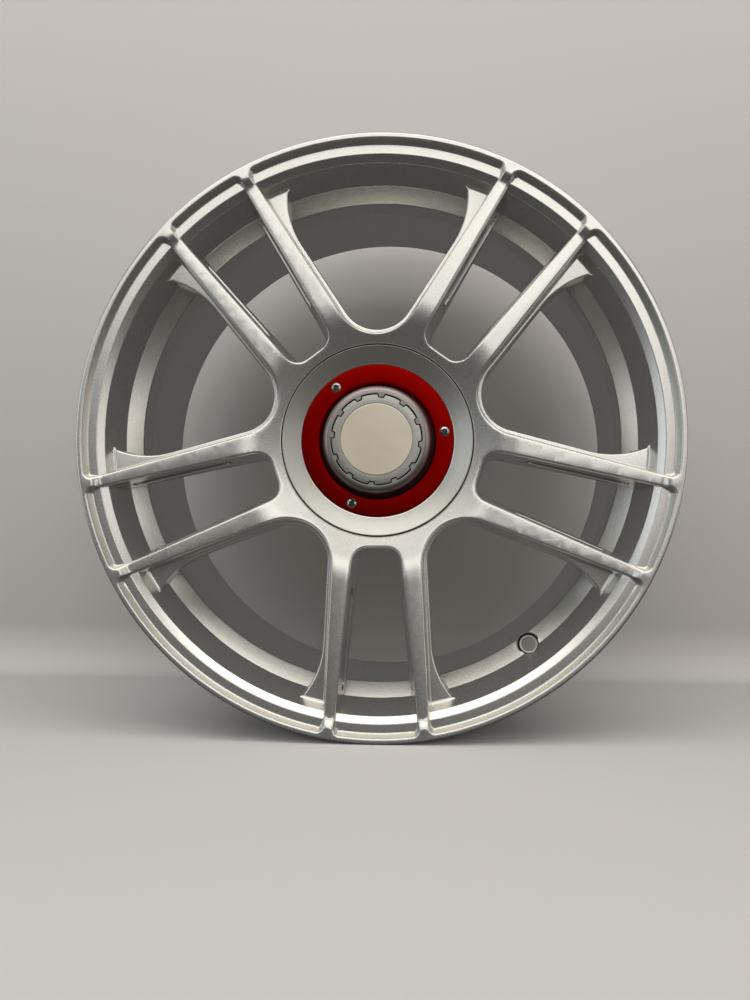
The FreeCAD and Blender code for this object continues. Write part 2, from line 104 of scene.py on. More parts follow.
DISH_DEPTH, CREST_DEPTH, STEP_DEPTH = 18.0, 8.0, 4.5
PAD_R, PAD_SIDE_R, PAD_SIDE_DEPTH = 77.0, 84.0, 60.0
HUB_WALL = 5.9
print("lip radius", round(FLANGE_R, 1), "depth of the casting", round(REAR_DEPTH, 1))


# %% [markdown]
# ## From numbers to meshes
# Every surface here is an array of points (plan x, plan y, depth) and an array of faces. One helper stands
# the plan upright in the frame, another turns a grid of points into four-sided faces, and a third keeps the
# faces pointing out of the metal.

# %% helpers for arrays of points
def stand_up(points):
    """Plan x, plan y and depth in millimetres become X, Z and Y in metres, the lip's front at its true Y."""
    x, y, depth = np.moveaxis(np.asarray(points, float), -1, 0)
    return np.stack([x, depth + LIP_FRONT, y], axis=-1) * MM


def grid_faces(rows, columns, closed):
    """Four-sided faces of a grid of points: corner (i, j) joins its neighbours in the next row and column."""
    j = np.arange(columns if closed else columns - 1)
    i = np.arange(rows - 1)[:, None]
    after = (j + 1) % columns
    this, following = i * columns, (i + 1) * columns
    quads = np.stack([this + j, this + after, following + after, following + j], axis=-1)
    return quads.reshape(-1, 4)


def facing(points, faces, outward):
    """Faces turned over, all together, if their normals point against the outward directions on the whole."""
    corners = points[faces[:, :3]]
    normals = np.cross(corners[:, 1] - corners[:, 0], corners[:, 2] - corners[:, 0])
    agree = np.sum(normals * outward[faces[:, 0]])
    return faces if agree > 0 else faces[:, ::-1]


def unit(vectors):
    """Rows of vectors, each divided by its length."""
    return vectors / np.linalg.norm(vectors, axis=1)[:, None]


def about_axis(points, angle):
    """Points turned about the wheel's axis: plan x and y are rotated and the depth stays."""
    a = math.radians(angle)
    turn = np.array([[math.cos(a), math.sin(a), 0.0], [-math.sin(a), math.cos(a), 0.0], [0.0, 0.0, 1.0]])
    return points @ turn


def make_object(name, points, faces):
    """A mesh object at the origin from arrays of points in metres and faces."""
    mesh = bpy.data.meshes.new(name)
    mesh.from_pydata(points.tolist(), [], [list(map(int, f)) for f in faces])
    mesh.update()
    thing = bpy.data.objects.new(name, mesh)
    bpy.context.scene.collection.objects.link(thing)
    return thing


# %% [markdown]
# ## The turned surfaces
# Seen along a radius, the front of the spokes falls from the lip over a short step, runs almost level to a
# crest and dips into the dish round the hub. Corners of a casting are soft, so the straight pieces are
# averaged over a few millimetres, which rounds each corner by an arc of that length.

# %% front, back and inner rim as functions of the radius
DISH_R = RECESS_R + 0.8
CREST_R = 103.0
STEP_FOOT_R = FLANGE_R - 15.6
STEP_TOP_R = FLANGE_R - 10.4
CREST_SOFT, STEP_SOFT, SOFT_CHANGE_R = 10.4, 1.0, 160.0
RUN_ON = 20.0
SUNK = 1.6


def averaged(radius, corners, depths, half_width):
    """Piecewise straight depth over the radius, averaged over a window of the given half width."""
    spread = np.linspace(-1.0, 1.0, 33)
    samples = np.asarray(radius)[..., None] + np.asarray(half_width)[..., None] * spread
    return np.interp(samples, corners, depths).mean(axis=-1)


def front_depth(radius):
    """Depth of the spokes' front: the dish, the crest, the long run, the step and the lip's flat."""
    corners = [DISH_R - RUN_ON, DISH_R, CREST_R, STEP_FOOT_R, STEP_TOP_R, FLANGE_R + RUN_ON]
    dish = (DISH_DEPTH - CREST_DEPTH) / (CREST_R - DISH_R)
    depths = [DISH_DEPTH + RUN_ON * dish, DISH_DEPTH, CREST_DEPTH, STEP_DEPTH, 0.0, 0.0]
    half = np.where(np.asarray(radius) < SOFT_CHANGE_R, CREST_SOFT, STEP_SOFT)
    return averaged(radius, corners, depths, half)


def back_depth(radius):
    """Depth of the spokes' back, which thickens from the rim to the root and falls away to the hub's pad."""
    corners = [PAD_R, PAD_SIDE_R, 100.0, 150.0, 210.7, 240.0]
    depths = [FACE_DEPTH, PAD_SIDE_DEPTH, 47.0, 40.5, 36.5, 36.5]
    half = np.clip((np.asarray(radius) - PAD_SIDE_R) * 0.4, 0.0, 5.0)
    return averaged(radius, corners, depths, half)


def hidden_radius(depth):
    """How far out a surface may run at a depth and still end inside the rim's wall."""
    corners = [LEDGE_DEPTH, CONE_DEPTH, SLOPE_DEPTH, WELL_DEPTH]
    return np.interp(depth, corners, [LEDGE_R + 2.0, CONE_R + SUNK, SLOPE_R + SUNK, WELL_R + SUNK])


print("depth of front and back at the crest", front_depth(CREST_R).round(2), back_depth(CREST_R).round(2))


# %% [markdown]
# ## Window outlines
# Each window's outline is made of straight lines and arcs. For a point of it the wall needs two things: the
# place and the direction into the metal, because a drafted wall is the outline moved along that direction
# as it goes deeper. One half is worked out and mirrored, as the windows are symmetric about a radius.

# %% lines and arcs, each with its direction into the metal
def slope_of(draft):
    """How far a wall leans per unit of depth: the tangent of its draft angle."""
    return math.tan(math.radians(draft))


def heading(angle):
    """Unit vector at an angle in the plan."""
    return np.array([math.cos(math.radians(angle)), math.sin(math.radians(angle))])


def straight(start, end, into, count):
    """Evenly spaced points from start towards end, the end left out, with one direction into the metal."""
    t = np.arange(count)[:, None] / count
    return start + (end - start) * t, np.tile(into, (count, 1))


def bend(centre, radius, first, last, count, ending=0):
    """Points on an arc between two angles. The direction into the metal is the arc's own radius."""
    t = np.arange(count + ending) / count
    angles = np.radians(first + (last - first) * t)
    into = np.stack([np.cos(angles), np.sin(angles)], axis=-1)
    return centre + radius * into, into


def whole_outline(half):
    """Upper half of an outline followed by its mirror image, as points and directions."""
    points = np.concatenate([p for p, n in half])
    into = np.concatenate([n for p, n in half])
    mirror = np.array([1.0, -1.0])
    points = np.concatenate([points, points[-2:0:-1] * mirror])
    into = np.concatenate([into, into[-2:0:-1] * mirror])
    return points, into


class SpokeEdge:
    """Straight side of a spoke beside a window that opens along plan x.

    lean is the line's angle to the window's axis.
    gap is its distance from the wheel's axis, on the metal's side.
    """

    def __init__(self, lean, gap):
        self.lean = lean
        self.gap = gap
        self.along = heading(lean)
        self.into = heading(lean + 90.0)

    def at(self, reach, inward=0.0):
        """Point at a reach along the line, moved into the window by inward."""
        return reach * self.along - (self.gap + inward) * self.into

    def rim_corner(self, radius, circle):
        """Centre of the arc that joins the line to a circle about the wheel's axis."""
        return self.at(math.sqrt((circle - radius) ** 2 - (self.gap + radius) ** 2), radius)


def bearing(point):
    """Angle in the plan at which a point is seen from the wheel's axis."""
    return math.degrees(math.atan2(point[1], point[0]))


# %% [markdown]
# The narrow window lies between the two spokes of a pair. Its inner end is flat with round corners, its
# sides spread towards the rim, and two small arcs lead into the lip's circle.

# %% narrow window
RIM_CORNER = 5.5
NARROW_LEAN, NARROW_HALF, NARROW_ROUND = 5.34, 12.3, 13.5


def rim_end(edge, start, on_side, on_corner, on_rim):
    """Rest of a half outline: the side from start, the small arc, and the lip's circle to the middle."""
    rim = edge.rim_corner(RIM_CORNER, LIP_WALL_R)
    return [
        straight(start, rim + RIM_CORNER * edge.into, edge.into, on_side),
        bend(rim, RIM_CORNER, edge.lean + 90.0, bearing(rim), on_corner),
        bend(np.zeros(2), LIP_WALL_R, bearing(rim), 0.0, on_rim, ending=1),
    ]


def rim_share(half):
    """For each point of an outline: 0 beside a spoke, 0.5 on the small arc and 1 on the lip's circle."""
    shares = np.repeat([0.0, 0.0, 0.0, 0.5, 1.0], [len(p) for p, n in half])
    return np.concatenate([shares, shares[-2:0:-1]])


def narrow_outline():
    """Upper half, from the middle of the inner end round to the middle of the rim end."""
    edge = SpokeEdge(NARROW_LEAN, -NARROW_HALF * math.cos(math.radians(NARROW_LEAN)))
    inner = RECESS_R + HUB_WALL
    x = inner + NARROW_ROUND
    corner = np.array([x, (x * edge.along[1] - edge.gap - NARROW_ROUND) / edge.along[0]])
    side_start = corner + NARROW_ROUND * edge.into
    half = [
        straight(np.array([inner, 0.0]), np.array([inner, corner[1]]), heading(180.0), 2),
        bend(corner, NARROW_ROUND, 180.0, edge.lean + 90.0, 10),
        *rim_end(edge, side_start, on_side=58, on_corner=7, on_rim=8),
    ]
    return whole_outline(half), rim_share(half)


(narrow_points, narrow_into), narrow_at_rim = narrow_outline()
print("points round a narrow window:", len(narrow_points))


# %% [markdown]
# The wide window lies between two pairs. Below a narrow shelf it gets smaller, and near the rim its lower
# outline sweeps away from the spoke as a wing. Both outlines have the same number of points, so that a
# strip of faces can run from one to the other: it is narrow along the spoke and opens out into the wing's
# flat.

# %% wide window, above and below its shelf
WIDE_LEAN, WIDE_OFFSET, WIDE_ROUND = PAIR_ANGLE / 2 - 2.84, 29.5, 35.0
WIDE_DRAFT, LOWER_DRAFT, LIP_DRAFT = 6.5, 3.0, 15.0
WING_START, WING_ROUND = 163.5, 75.5
SHELF_INWARD = slope_of(WIDE_DRAFT) * SHELF_DEPTH + SHELF_WIDTH


def wing_arc(edge, inward, circle):
    """Centre and radius of a wing's arc, and the angle on it where it meets a circle about the axis."""
    radius = WING_ROUND - inward
    centre = edge.at(WING_START, radius)
    away = np.hypot(*centre)
    swing = math.degrees(math.acos((radius**2 + away**2 - circle**2) / (2 * radius * away)))
    return centre, radius, bearing(-centre) - swing


def wide_outlines():
    """Upper halves of both outlines, with matching counts of points in every stretch."""
    square = WIDE_LEAN + 90.0
    on_round, on_side, on_wing, on_corner, on_rim = 20, 14, 24, 7, 12
    halves = []
    for inward in (0.0, SHELF_INWARD):
        edge = SpokeEdge(WIDE_LEAN, WIDE_OFFSET + inward)
        inner_round = WIDE_ROUND - inward
        centre = np.array([(edge.gap + inner_round) / edge.along[1], 0.0])
        side_start = centre + inner_round * edge.into
        wing_foot = edge.at(WING_START)
        half = [
            bend(centre, inner_round, 180.0, square, on_round),
            straight(side_start, wing_foot, edge.into, on_side),
        ]
        if inward == 0.0:
            half += rim_end(edge, wing_foot, on_wing, on_corner, on_rim)
        else:
            wing, wing_round, meeting = wing_arc(edge, inward, LEDGE_R)
            tip_angle = square - (square - meeting) % 360.0
            tip = wing + wing_round * heading(tip_angle)
            half += [
                bend(wing, wing_round, square, tip_angle, on_wing),
                bend(np.zeros(2), LEDGE_R, bearing(tip), 0.0, on_corner + on_rim, ending=1),
            ]
        halves.append(half)
    return whole_outline(halves[0]), whole_outline(halves[1]), rim_share(halves[0])


(upper_points, upper_into), (lower_points, lower_into), wide_at_rim = wide_outlines()
print("points round a wide window:", len(upper_points), len(lower_points))


# %% [markdown]
# ## Window walls
# A wall is a profile carried round the outline. From the front it starts on the spoke's face, turns down
# through a round, follows the draft, and on the far side turns out again into the back. Where a wall would
# run past the rim's inner skin it is pulled back to end inside the metal, out of sight.

# %% rows of a wall
QUARTER = np.radians(np.linspace(0.0, 90.0, 6))
FOOT_ROUND = 1.3
FOOT_DIP = 0.4


def ease(share):
    """Smooth step: 0 below zero, 1 above one, and a cubic with level ends between them."""
    t = np.clip(share, 0.0, 1.0)
    return t * t * (3 - 2 * t)


def row(points, into, inward, depth):
    """One row of a wall: the outline moved into the window, at a depth, and kept inside the rim's wall."""
    plan = points - np.asarray(inward)[..., None] * into
    radius = np.hypot(plan[:, 0], plan[:, 1])
    deep = np.broadcast_to(depth, radius.shape)
    pull = np.minimum(1.0, hidden_radius(deep) / radius)
    pull = np.where(deep > LEDGE_DEPTH + FOOT_DIP / 2, pull, 1.0)
    return np.column_stack([plan * pull[:, None], deep])


def front_edge(points, into, slope):
    """Rows of the round from the spoke's face into the wall, and the depth at which the wall begins."""
    face = front_depth(np.hypot(*points.T))
    face = front_depth(np.hypot(*(points - (slope * face)[:, None] * into).T))
    rows = []
    for angle in QUARTER:
        inward = slope * face - EDGE_ROUND * (1 - math.sin(angle))
        radius = np.hypot(*(points - inward[:, None] * into).T)
        rows.append(row(points, into, inward, front_depth(radius) + EDGE_ROUND * (1 - math.cos(angle))))
    return rows, face + EDGE_ROUND


def lip_foot(points, into, slope, start):
    """Rows of the hollow between the lip's wall and the ledge. Away from the rim they lie on the plain wall.

    The last row dips under the ledge. Returned with the rows: its depth.
    """
    hollow = FOOT_ROUND * ease((np.hypot(*points.T) - LEDGE_R + 1.0) / 4.0)
    foot = np.maximum(LEDGE_DEPTH, start + FOOT_DIP)
    rows = []
    for angle in QUARTER:
        inward = slope * foot + hollow * (1 - math.cos(angle))
        plain = (1 - hollow / FOOT_ROUND) * FOOT_DIP * (math.sin(angle) - 1)
        rows.append(row(points, into, inward + slope * plain, foot + plain - hollow * (1 - math.sin(angle))))
    dip = foot + FOOT_DIP
    rows.append(row(points, into, slope * dip + hollow, dip))
    return rows, dip


def back_edge(points, into, inward_at):
    """Rows of the round from the wall into the spoke's back. inward_at gives the wall's inward at a depth."""
    back = back_depth(np.hypot(*points.T))
    for _ in range(3):
        back = back_depth(np.hypot(*(points - inward_at(back)[:, None] * into).T))
    rows = []
    for angle in QUARTER:
        inward = inward_at(back) - BACK_ROUND * (1 - math.cos(angle))
        radius = np.hypot(*(points - inward[:, None] * into).T)
        rows.append(row(points, into, inward, back_depth(radius) - BACK_ROUND * (1 - math.sin(angle))))
    return rows, back - BACK_ROUND


# %% [markdown]
# Along each side of a narrow window a long slot with round ends is milled into the spoke. It is the wall's
# inward distance made smaller, by the slot's full cut inside and by less over its soft edge.

# %% wall of a narrow window
SLOT_TOP, SLOT_END, SLOT_CUT, SLOT_EDGE = 20.0, 31.0, 2.6, 1.4
SLOT_START, SLOT_STOP = 118.0, 198.5
SLOT_FLOOR = [22.2, 23.7, 25.5, 27.3, 28.8]
NARROW_DRAFT = 7.0


def slot_cut(along, depth):
    """Cut of the slot at a place on the wall: full in a round-ended strip, easing out over its edge."""
    half = (SLOT_END - SLOT_TOP) / 2
    past_end = np.maximum(SLOT_START + half - along, along - SLOT_STOP + half)
    inside = half - np.hypot(np.maximum(past_end, 0.0), depth - (SLOT_TOP + SLOT_END) / 2)
    return SLOT_CUT * ease(inside / SLOT_EDGE + 0.4)


def narrow_wall():
    """Profile: front round, hollow at the ledge, drafted wall with the slot, back round."""
    slope = np.interp(narrow_at_rim, [0.0, 1.0], [slope_of(NARROW_DRAFT), slope_of(LIP_DRAFT)])
    on_side = np.abs(narrow_into[:, 1]) > 0.9

    def inward_at(depth):
        """How far the wall has moved into the window at a depth."""
        return slope * depth

    rows, start = front_edge(narrow_points, narrow_into, slope)
    foot_rows, dip = lip_foot(narrow_points, narrow_into, slope, start)
    back_rows, end = back_edge(narrow_points, narrow_into, inward_at)
    rows += foot_rows
    first = SLOT_TOP - 1.2
    for share in (0.5, 1.0):
        depth = dip + (first - dip) * share
        rows.append(row(narrow_points, narrow_into, inward_at(depth), depth))
    edge = np.array([-0.6, -0.3, 0.0, 0.3, 0.6, 1.0])
    depths = np.concatenate([SLOT_TOP + edge, SLOT_FLOOR, SLOT_END - edge[::-1]])
    for depth in depths:
        cut = slot_cut(narrow_points[:, 0], depth) * on_side
        rows.append(row(narrow_points, narrow_into, inward_at(depth) - cut, np.full(len(slope), depth)))
    depth = (SLOT_END + end) / 2
    rows.append(row(narrow_points, narrow_into, inward_at(depth), depth))
    return np.stack(rows + back_rows)


narrow_rows = narrow_wall()
print("narrow wall", narrow_rows.shape)


# %% [markdown]
# The wide window's wall stops at a shelf, crosses it to the lower outline and goes on down. Both corners of
# the shelf are rounded, the inner one as a hollow and the outer one as an edge.

# %% wall of a wide window
SHELF_HOLLOW, SHELF_EDGE = 1.3, 1.5


def wide_wall():
    """Profile: front round, hollow at the ledge, wall, hollow, shelf, edge, lower wall, back round."""
    slope = np.interp(wide_at_rim, [0.0, 1.0], [slope_of(WIDE_DRAFT), slope_of(LIP_DRAFT)])
    lower_slope = slope_of(LOWER_DRAFT)
    rows, start = front_edge(upper_points, upper_into, slope)
    foot_rows, dip = lip_foot(upper_points, upper_into, slope, start)
    rows += foot_rows
    depth = (dip + SHELF_DEPTH - SHELF_HOLLOW) / 2
    rows.append(row(upper_points, upper_into, slope * depth, depth))
    for angle in QUARTER:
        inward = slope * SHELF_DEPTH + SHELF_HOLLOW * (1 - math.cos(angle))
        depth = SHELF_DEPTH - SHELF_HOLLOW * (1 - math.sin(angle))
        rows.append(row(upper_points, upper_into, inward, np.full(len(slope), depth)))
    for angle in QUARTER:
        inward = np.full(len(slope), -SHELF_EDGE * (1 - math.sin(angle)))
        depth = SHELF_DEPTH + SHELF_EDGE * (1 - math.cos(angle))
        rows.append(row(lower_points, lower_into, inward, np.full(len(slope), depth)))

    def inward_at(depth):
        """How far the wall has moved into the window at a depth."""
        return lower_slope * (depth - SHELF_DEPTH)

    back_rows, end = back_edge(lower_points, lower_into, inward_at)
    top = SHELF_DEPTH + SHELF_EDGE
    for share in (0.35, 0.7):
        depth = top + (end - top) * share
        rows.append(row(lower_points, lower_into, inward_at(depth), depth))
    return np.stack(rows + back_rows)


wide_rows = wide_wall()
print("wide wall", wide_rows.shape)


# %% [markdown]
# Where a wing's flat runs into the rim's cone the casting has a hollow, like every inner corner of a mould.
# It is a narrow strip: an arc that touches the flat and the cone, carried from the spoke's wall to the tip
# of the wing.

# %% hollow between a wing and the rim
WING_HOLLOW = 3.2


def wing_hollow():
    """Grid of points: arcs in planes through the axis, one per angle, shrinking to nothing at the tip."""
    circle = np.interp(SHELF_DEPTH, [CONE_DEPTH, SLOPE_DEPTH], [CONE_R, SLOPE_R])
    wall = SpokeEdge(WIDE_LEAN, WIDE_OFFSET + slope_of(WIDE_DRAFT) * SHELF_DEPTH)
    edge = SpokeEdge(WIDE_LEAN, WIDE_OFFSET + SHELF_INWARD)
    wing, wing_round, meeting = wing_arc(edge, SHELF_INWARD, circle)
    tip = wing + wing_round * heading(meeting)
    first = bearing(wall.at(math.sqrt(circle**2 - wall.gap**2))) + 0.5
    last = bearing(tip) - 0.35
    angles = np.radians(np.linspace(first, last, 30))
    size = WING_HOLLOW * np.sqrt(np.clip((angles - angles[-1]) / math.radians(0.9), 0.0, 1.0))
    up_cone = np.array([CONE_R - SLOPE_R, CONE_DEPTH - SLOPE_DEPTH])
    up_cone /= np.linalg.norm(up_cone)
    along_flat = np.array([-1.0, 0.0])
    half = math.acos(up_cone @ along_flat) / 2
    middle = (up_cone + along_flat) / np.linalg.norm(up_cone + along_flat) / math.sin(half)
    t = np.linspace(0.0, 1.0, 9)[:, None]
    arc = (along_flat / math.tan(half) - middle) * (1 - t) + (up_cone / math.tan(half) - middle) * t
    arc = middle + unit(arc)
    radius = circle + arc[:, :1] * size
    depth = SHELF_DEPTH + arc[:, 1:] * size
    return np.stack([radius * np.cos(angles), radius * np.sin(angles), depth], axis=-1)


hollow_rows = wing_hollow()
print("wing hollow", hollow_rows.shape)


# %% [markdown]
# ## Faces between the windows
# The front and the back of the spokes are what is left of a ring when the windows are taken out. Their
# outlines are the first and last rows of the walls, so the faces meet the walls exactly. A constrained
# triangulation fills the plan between them, over points spread on rings, and the turned surface gives each
# point its depth.

# %% triangulated sheets
def ring_points(radius, count):
    """Evenly spaced points on a circle in the plan."""
    angles = np.linspace(0.0, 2 * math.pi, count, endpoint=False)
    return radius * np.column_stack([np.cos(angles), np.sin(angles)])


def inside(points, loop):
    """Whether a closed loop of plan points surrounds each point: a ray crosses it an odd number of times."""
    a, b = loop, np.roll(loop, -1, axis=0)
    x, y = points[:, :1], points[:, 1:2]
    spans = (a[:, 1] > y) != (b[:, 1] > y)
    rise = np.where(b[:, 1] == a[:, 1], 1e-12, b[:, 1] - a[:, 1])
    crossing = a[:, 0] + (y - a[:, 1]) / rise * (b[:, 0] - a[:, 0])
    return np.sum(spans & (x < crossing), axis=1) % 2 == 1


def sheet(outer, inner, windows, rings, clearance):
    """Plan points and triangles of a ring between two circles, with the windows left out."""
    loops = [outer, inner] + windows
    spread = np.concatenate([ring_points(r, n) for r, n in rings])
    edge = np.concatenate(windows)
    for window in windows:
        spread = spread[~inside(spread, window)]
    nearest = np.sqrt(((spread[:, None, :] - edge[None, ::2, :]) ** 2).sum(-1).min(1))
    spread = spread[nearest > clearance]
    plan = np.concatenate(loops + [spread])
    edges, first = [], 0
    for loop in loops:
        index = first + np.arange(len(loop))
        edges += np.column_stack([index, np.roll(index, -1)]).tolist()
        first += len(loop)
    verts, _, faces, *_ = delaunay_2d_cdt([Vector(p) for p in plan], edges, [], 0, 1e-5)
    plan = np.array([v[:] for v in verts])
    faces = np.array(faces)
    middle = plan[faces].mean(axis=1)
    keep = inside(middle, outer) & ~inside(middle, inner)
    for window in windows:
        keep &= ~inside(middle, window)
    return plan, faces[keep]


TURNS, HUB_TURNS, BACK_TURNS = 264, 220, 160
LIP_ROUND = 1.5
FRONT_CLEARANCE, BACK_CLEARANCE = 1.4, 2.5
narrow_angles = [FIRST_NARROW + PAIR_ANGLE * i for i in range(PAIRS)]
wide_angles = [FIRST_WIDE + PAIR_ANGLE * i for i in range(PAIRS)]


def window_loops(level):
    """Plan outlines of all ten windows at one row of their walls."""
    loops = [about_axis(narrow_rows[level], a)[:, :2] for a in narrow_angles]
    return loops + [about_axis(wide_rows[level], a)[:, :2] for a in wide_angles]


front_rings = [(r, HUB_TURNS) for r in np.arange(DISH_R + 2.0, 117.0, 2.2)]
front_rings += [(r, int(r * 1.15)) for r in np.arange(121.0, STEP_FOOT_R - 3.0, 6.0)]
front_rings += [(r, TURNS) for r in np.arange(STEP_FOOT_R - 2.0, STEP_TOP_R + 2.5, 0.6)]
front_outer, front_inner = ring_points(FLANGE_R - LIP_ROUND, TURNS), ring_points(DISH_R, HUB_TURNS)
front_plan, front_faces = sheet(front_outer, front_inner, window_loops(0), front_rings, FRONT_CLEARANCE)
front_sheet = np.column_stack([front_plan, front_depth(np.hypot(*front_plan.T))])

back_rings = [(r, BACK_TURNS) for r in np.arange(87.0, 108.0, 4.0)]
back_rings += [(r, 180) for r in np.arange(114.0, 206.0, 9.0)]
back_outer, back_inner = ring_points(SLOPE_R + SUNK, TURNS), ring_points(PAD_SIDE_R, BACK_TURNS)
back_plan, back_faces = sheet(back_outer, back_inner, window_loops(-1), back_rings, BACK_CLEARANCE)
back_sheet = np.column_stack([back_plan, back_depth(np.hypot(*back_plan.T))])
print("front triangles", len(front_faces), "back triangles", len(back_faces))


# %% [markdown]
# ## Rim and hub
# The rim and the hub's middle are turned: a section swept about the axis. Each corner of the section gets
# an arc, found from the two lines that meet there. The holes for the valve and the wheel bolts are cut out
# of these closed rings afterwards, with tools that are turned too.

# %% turned pieces with rounded sections
def rounded_section(corners, arc_points=5):
    """Corners (radius, depth, round) of a closed section become points, with an arc at each corner."""
    table = np.array(corners, float)
    place, radius = table[:, :2], table[:, 2]
    back = unit(np.roll(place, 1, axis=0) - place)
    ahead = unit(np.roll(place, -1, axis=0) - place)
    half = np.arccos(np.clip((back * ahead).sum(1), -1, 1)) / 2
    centre = place + unit(back + ahead) * (radius / np.sin(half))[:, None]
    points = []
    for i in range(len(place)):
        if radius[i] == 0.0:
            points.append(place[i:i + 1])
            continue
        first = place[i] + back[i] * radius[i] / math.tan(half[i]) - centre[i]
        last = place[i] + ahead[i] * radius[i] / math.tan(half[i]) - centre[i]
        t = np.linspace(0.0, 1.0, arc_points)[:, None]
        arc = first * (1 - t) + last * t
        points.append(centre[i] + arc * (radius[i] / np.linalg.norm(arc, axis=1))[:, None])
    return np.concatenate(points)


def turned(section, turns):
    """Closed section of (radius, depth) points swept once about the axis, as points and outward faces."""
    angles = np.linspace(0.0, 2 * math.pi, turns, endpoint=False)
    radius, depth = section.T
    reach, level = radius[:, None], np.repeat(depth[:, None], turns, 1)
    points = np.stack([reach * np.cos(angles), reach * np.sin(angles), level], axis=-1)
    closed = np.concatenate([points, points[:1]])
    faces = grid_faces(len(closed), turns, True) % (len(section) * turns)
    points = points.reshape(-1, 3)
    corners = stand_up(points)[faces]
    volume = np.einsum("ij,ij->", np.cross(corners[:, 1], corners[:, 2]), corners[:, 0])
    volume += np.einsum("ij,ij->", np.cross(corners[:, 2], corners[:, 3]), corners[:, 0])
    return points, faces if volume > 0 else faces[:, ::-1]


BEAD_DEPTH, RIM_WIDTH = 12.4, 203.2
SEAT_WIDTH, SEAT_TAPER = 20.0, 5.0
HUMP_HEIGHT, HUMP_RUN = 1.2, 4.0
WELL_WALL, WELL_END = 4.4, 73.5
SEAT_END_R = SEAT_R - SEAT_WIDTH * slope_of(SEAT_TAPER)
SEAT_END = BEAD_DEPTH + SEAT_WIDTH
REAR_BEAD = BEAD_DEPTH + RIM_WIDTH
REAR_SEAT_END = REAR_BEAD - SEAT_WIDTH
rim_section = rounded_section([
    (FLANGE_R - LIP_ROUND, 0.0, 0.0),
    (FLANGE_R, 0.0, 0.0),
    (FLANGE_R, BEAD_DEPTH, 2.0),
    (SEAT_R, BEAD_DEPTH, 4.0),
    (SEAT_END_R, SEAT_END, 2.0),
    (SEAT_END_R + HUMP_HEIGHT, SEAT_END + HUMP_RUN, 3.0),
    (SEAT_END_R, SEAT_END + 2 * HUMP_RUN, 3.0),
    (WELL_R + WELL_WALL, 56.0, 6.0),
    (WELL_R + WELL_WALL, WELL_END, 12.0),
    (SEAT_END_R, REAR_SEAT_END - 2 * HUMP_RUN, 3.0),
    (SEAT_END_R + HUMP_HEIGHT, REAR_SEAT_END - HUMP_RUN, 3.0),
    (SEAT_END_R, REAR_SEAT_END, 2.0),
    (SEAT_R, REAR_BEAD, 4.0),
    (FLANGE_R, REAR_BEAD, 2.0),
    (FLANGE_R, REAR_DEPTH, 2.0),
    (FLANGE_R - 20.3, REAR_DEPTH, 3.0),
    (SEAT_END_R - 4.0, REAR_SEAT_END, 12.0),
    (WELL_R, WELL_END, 12.0),
    (WELL_R, WELL_DEPTH, 3.0),
    (SLOPE_R, SLOPE_DEPTH, 3.0),
    (CONE_R, CONE_DEPTH, 2.0),
    (LEDGE_R, LEDGE_DEPTH, 1.6),
    (LIP_WALL_R + 1.0, LEDGE_DEPTH, 0.0),
])
lip_arc = np.radians(np.linspace(90.0, 0.0, 6))
lip_edge = np.column_stack([
    FLANGE_R - LIP_ROUND + LIP_ROUND * np.cos(lip_arc),
    LIP_ROUND - LIP_ROUND * np.sin(lip_arc),
])
rim_section = np.concatenate([lip_edge, rim_section[2:]])
rim_points, rim_faces = turned(rim_section, TURNS)
print("rim section points", len(rim_section))


# %% [markdown]
# The valve hole goes through the slope of the well, leaning towards the hub. A low boss on the slope
# carries its flat seat, and the hole's edge is countersunk. The tools are stepped pins, turned about their
# own axis and laid along the hole; the foot of the boss is slanted to follow the slope.

# %% cutting holes out of the turned pieces
PIN_TURNS = 48
TOOL_MERGE, CASTING_MERGE = 0.000001, 0.00002
FORWARD = np.array([0.0, 0.0, -1.0])


def pin(steps, place, direction, turns=PIN_TURNS):
    """Closed stepped pin: (distance, radius) steps swept about an axis through place, in plan and depth."""
    direction = direction / np.linalg.norm(direction)
    side = np.cross(direction, [0.3, 0.5, 0.8])
    side /= np.linalg.norm(side)
    other = np.cross(direction, side)
    angles = np.linspace(0.0, 2 * math.pi, turns, endpoint=False)
    table = np.array(steps, float)
    circle = np.cos(angles)[:, None] * side + np.sin(angles)[:, None] * other
    points = place + table[:, :1, None] * direction + table[:, 1:, None] * circle
    faces = grid_faces(len(table), turns, True).tolist()
    faces += [list(range(turns))[::-1], list(range((len(table) - 1) * turns, len(table) * turns))]
    return points.reshape(-1, 3), faces


def merge(mesh, distance, outwards):
    """Merges points that lie within a distance in metres and, if asked, turns all faces outwards."""
    shape = bmesh.new()
    shape.from_mesh(mesh)
    bmesh.ops.remove_doubles(shape, verts=shape.verts, dist=distance)
    if outwards:
        bmesh.ops.recalc_face_normals(shape, faces=shape.faces)
    shape.to_mesh(mesh)
    shape.free()


def closed_object(name, points, faces):
    """An object whose faces all point outwards."""
    thing = make_object(name, stand_up(points), faces)
    merge(thing.data, TOOL_MERGE, True)
    return thing


def combined(body, tools):
    """The body after its tools, each ("UNION" or "DIFFERENCE", object), as a mesh. The tools are removed."""
    for operation, tool in tools:
        step = body.modifiers.new("step", "BOOLEAN")
        step.operation = operation
        step.solver = "EXACT"
        step.object = tool
    graph = bpy.context.evaluated_depsgraph_get()
    mesh = bpy.data.meshes.new_from_object(body.evaluated_get(graph))
    for thing in [tool for _, tool in tools] + [body]:
        bpy.data.objects.remove(thing)
    return mesh


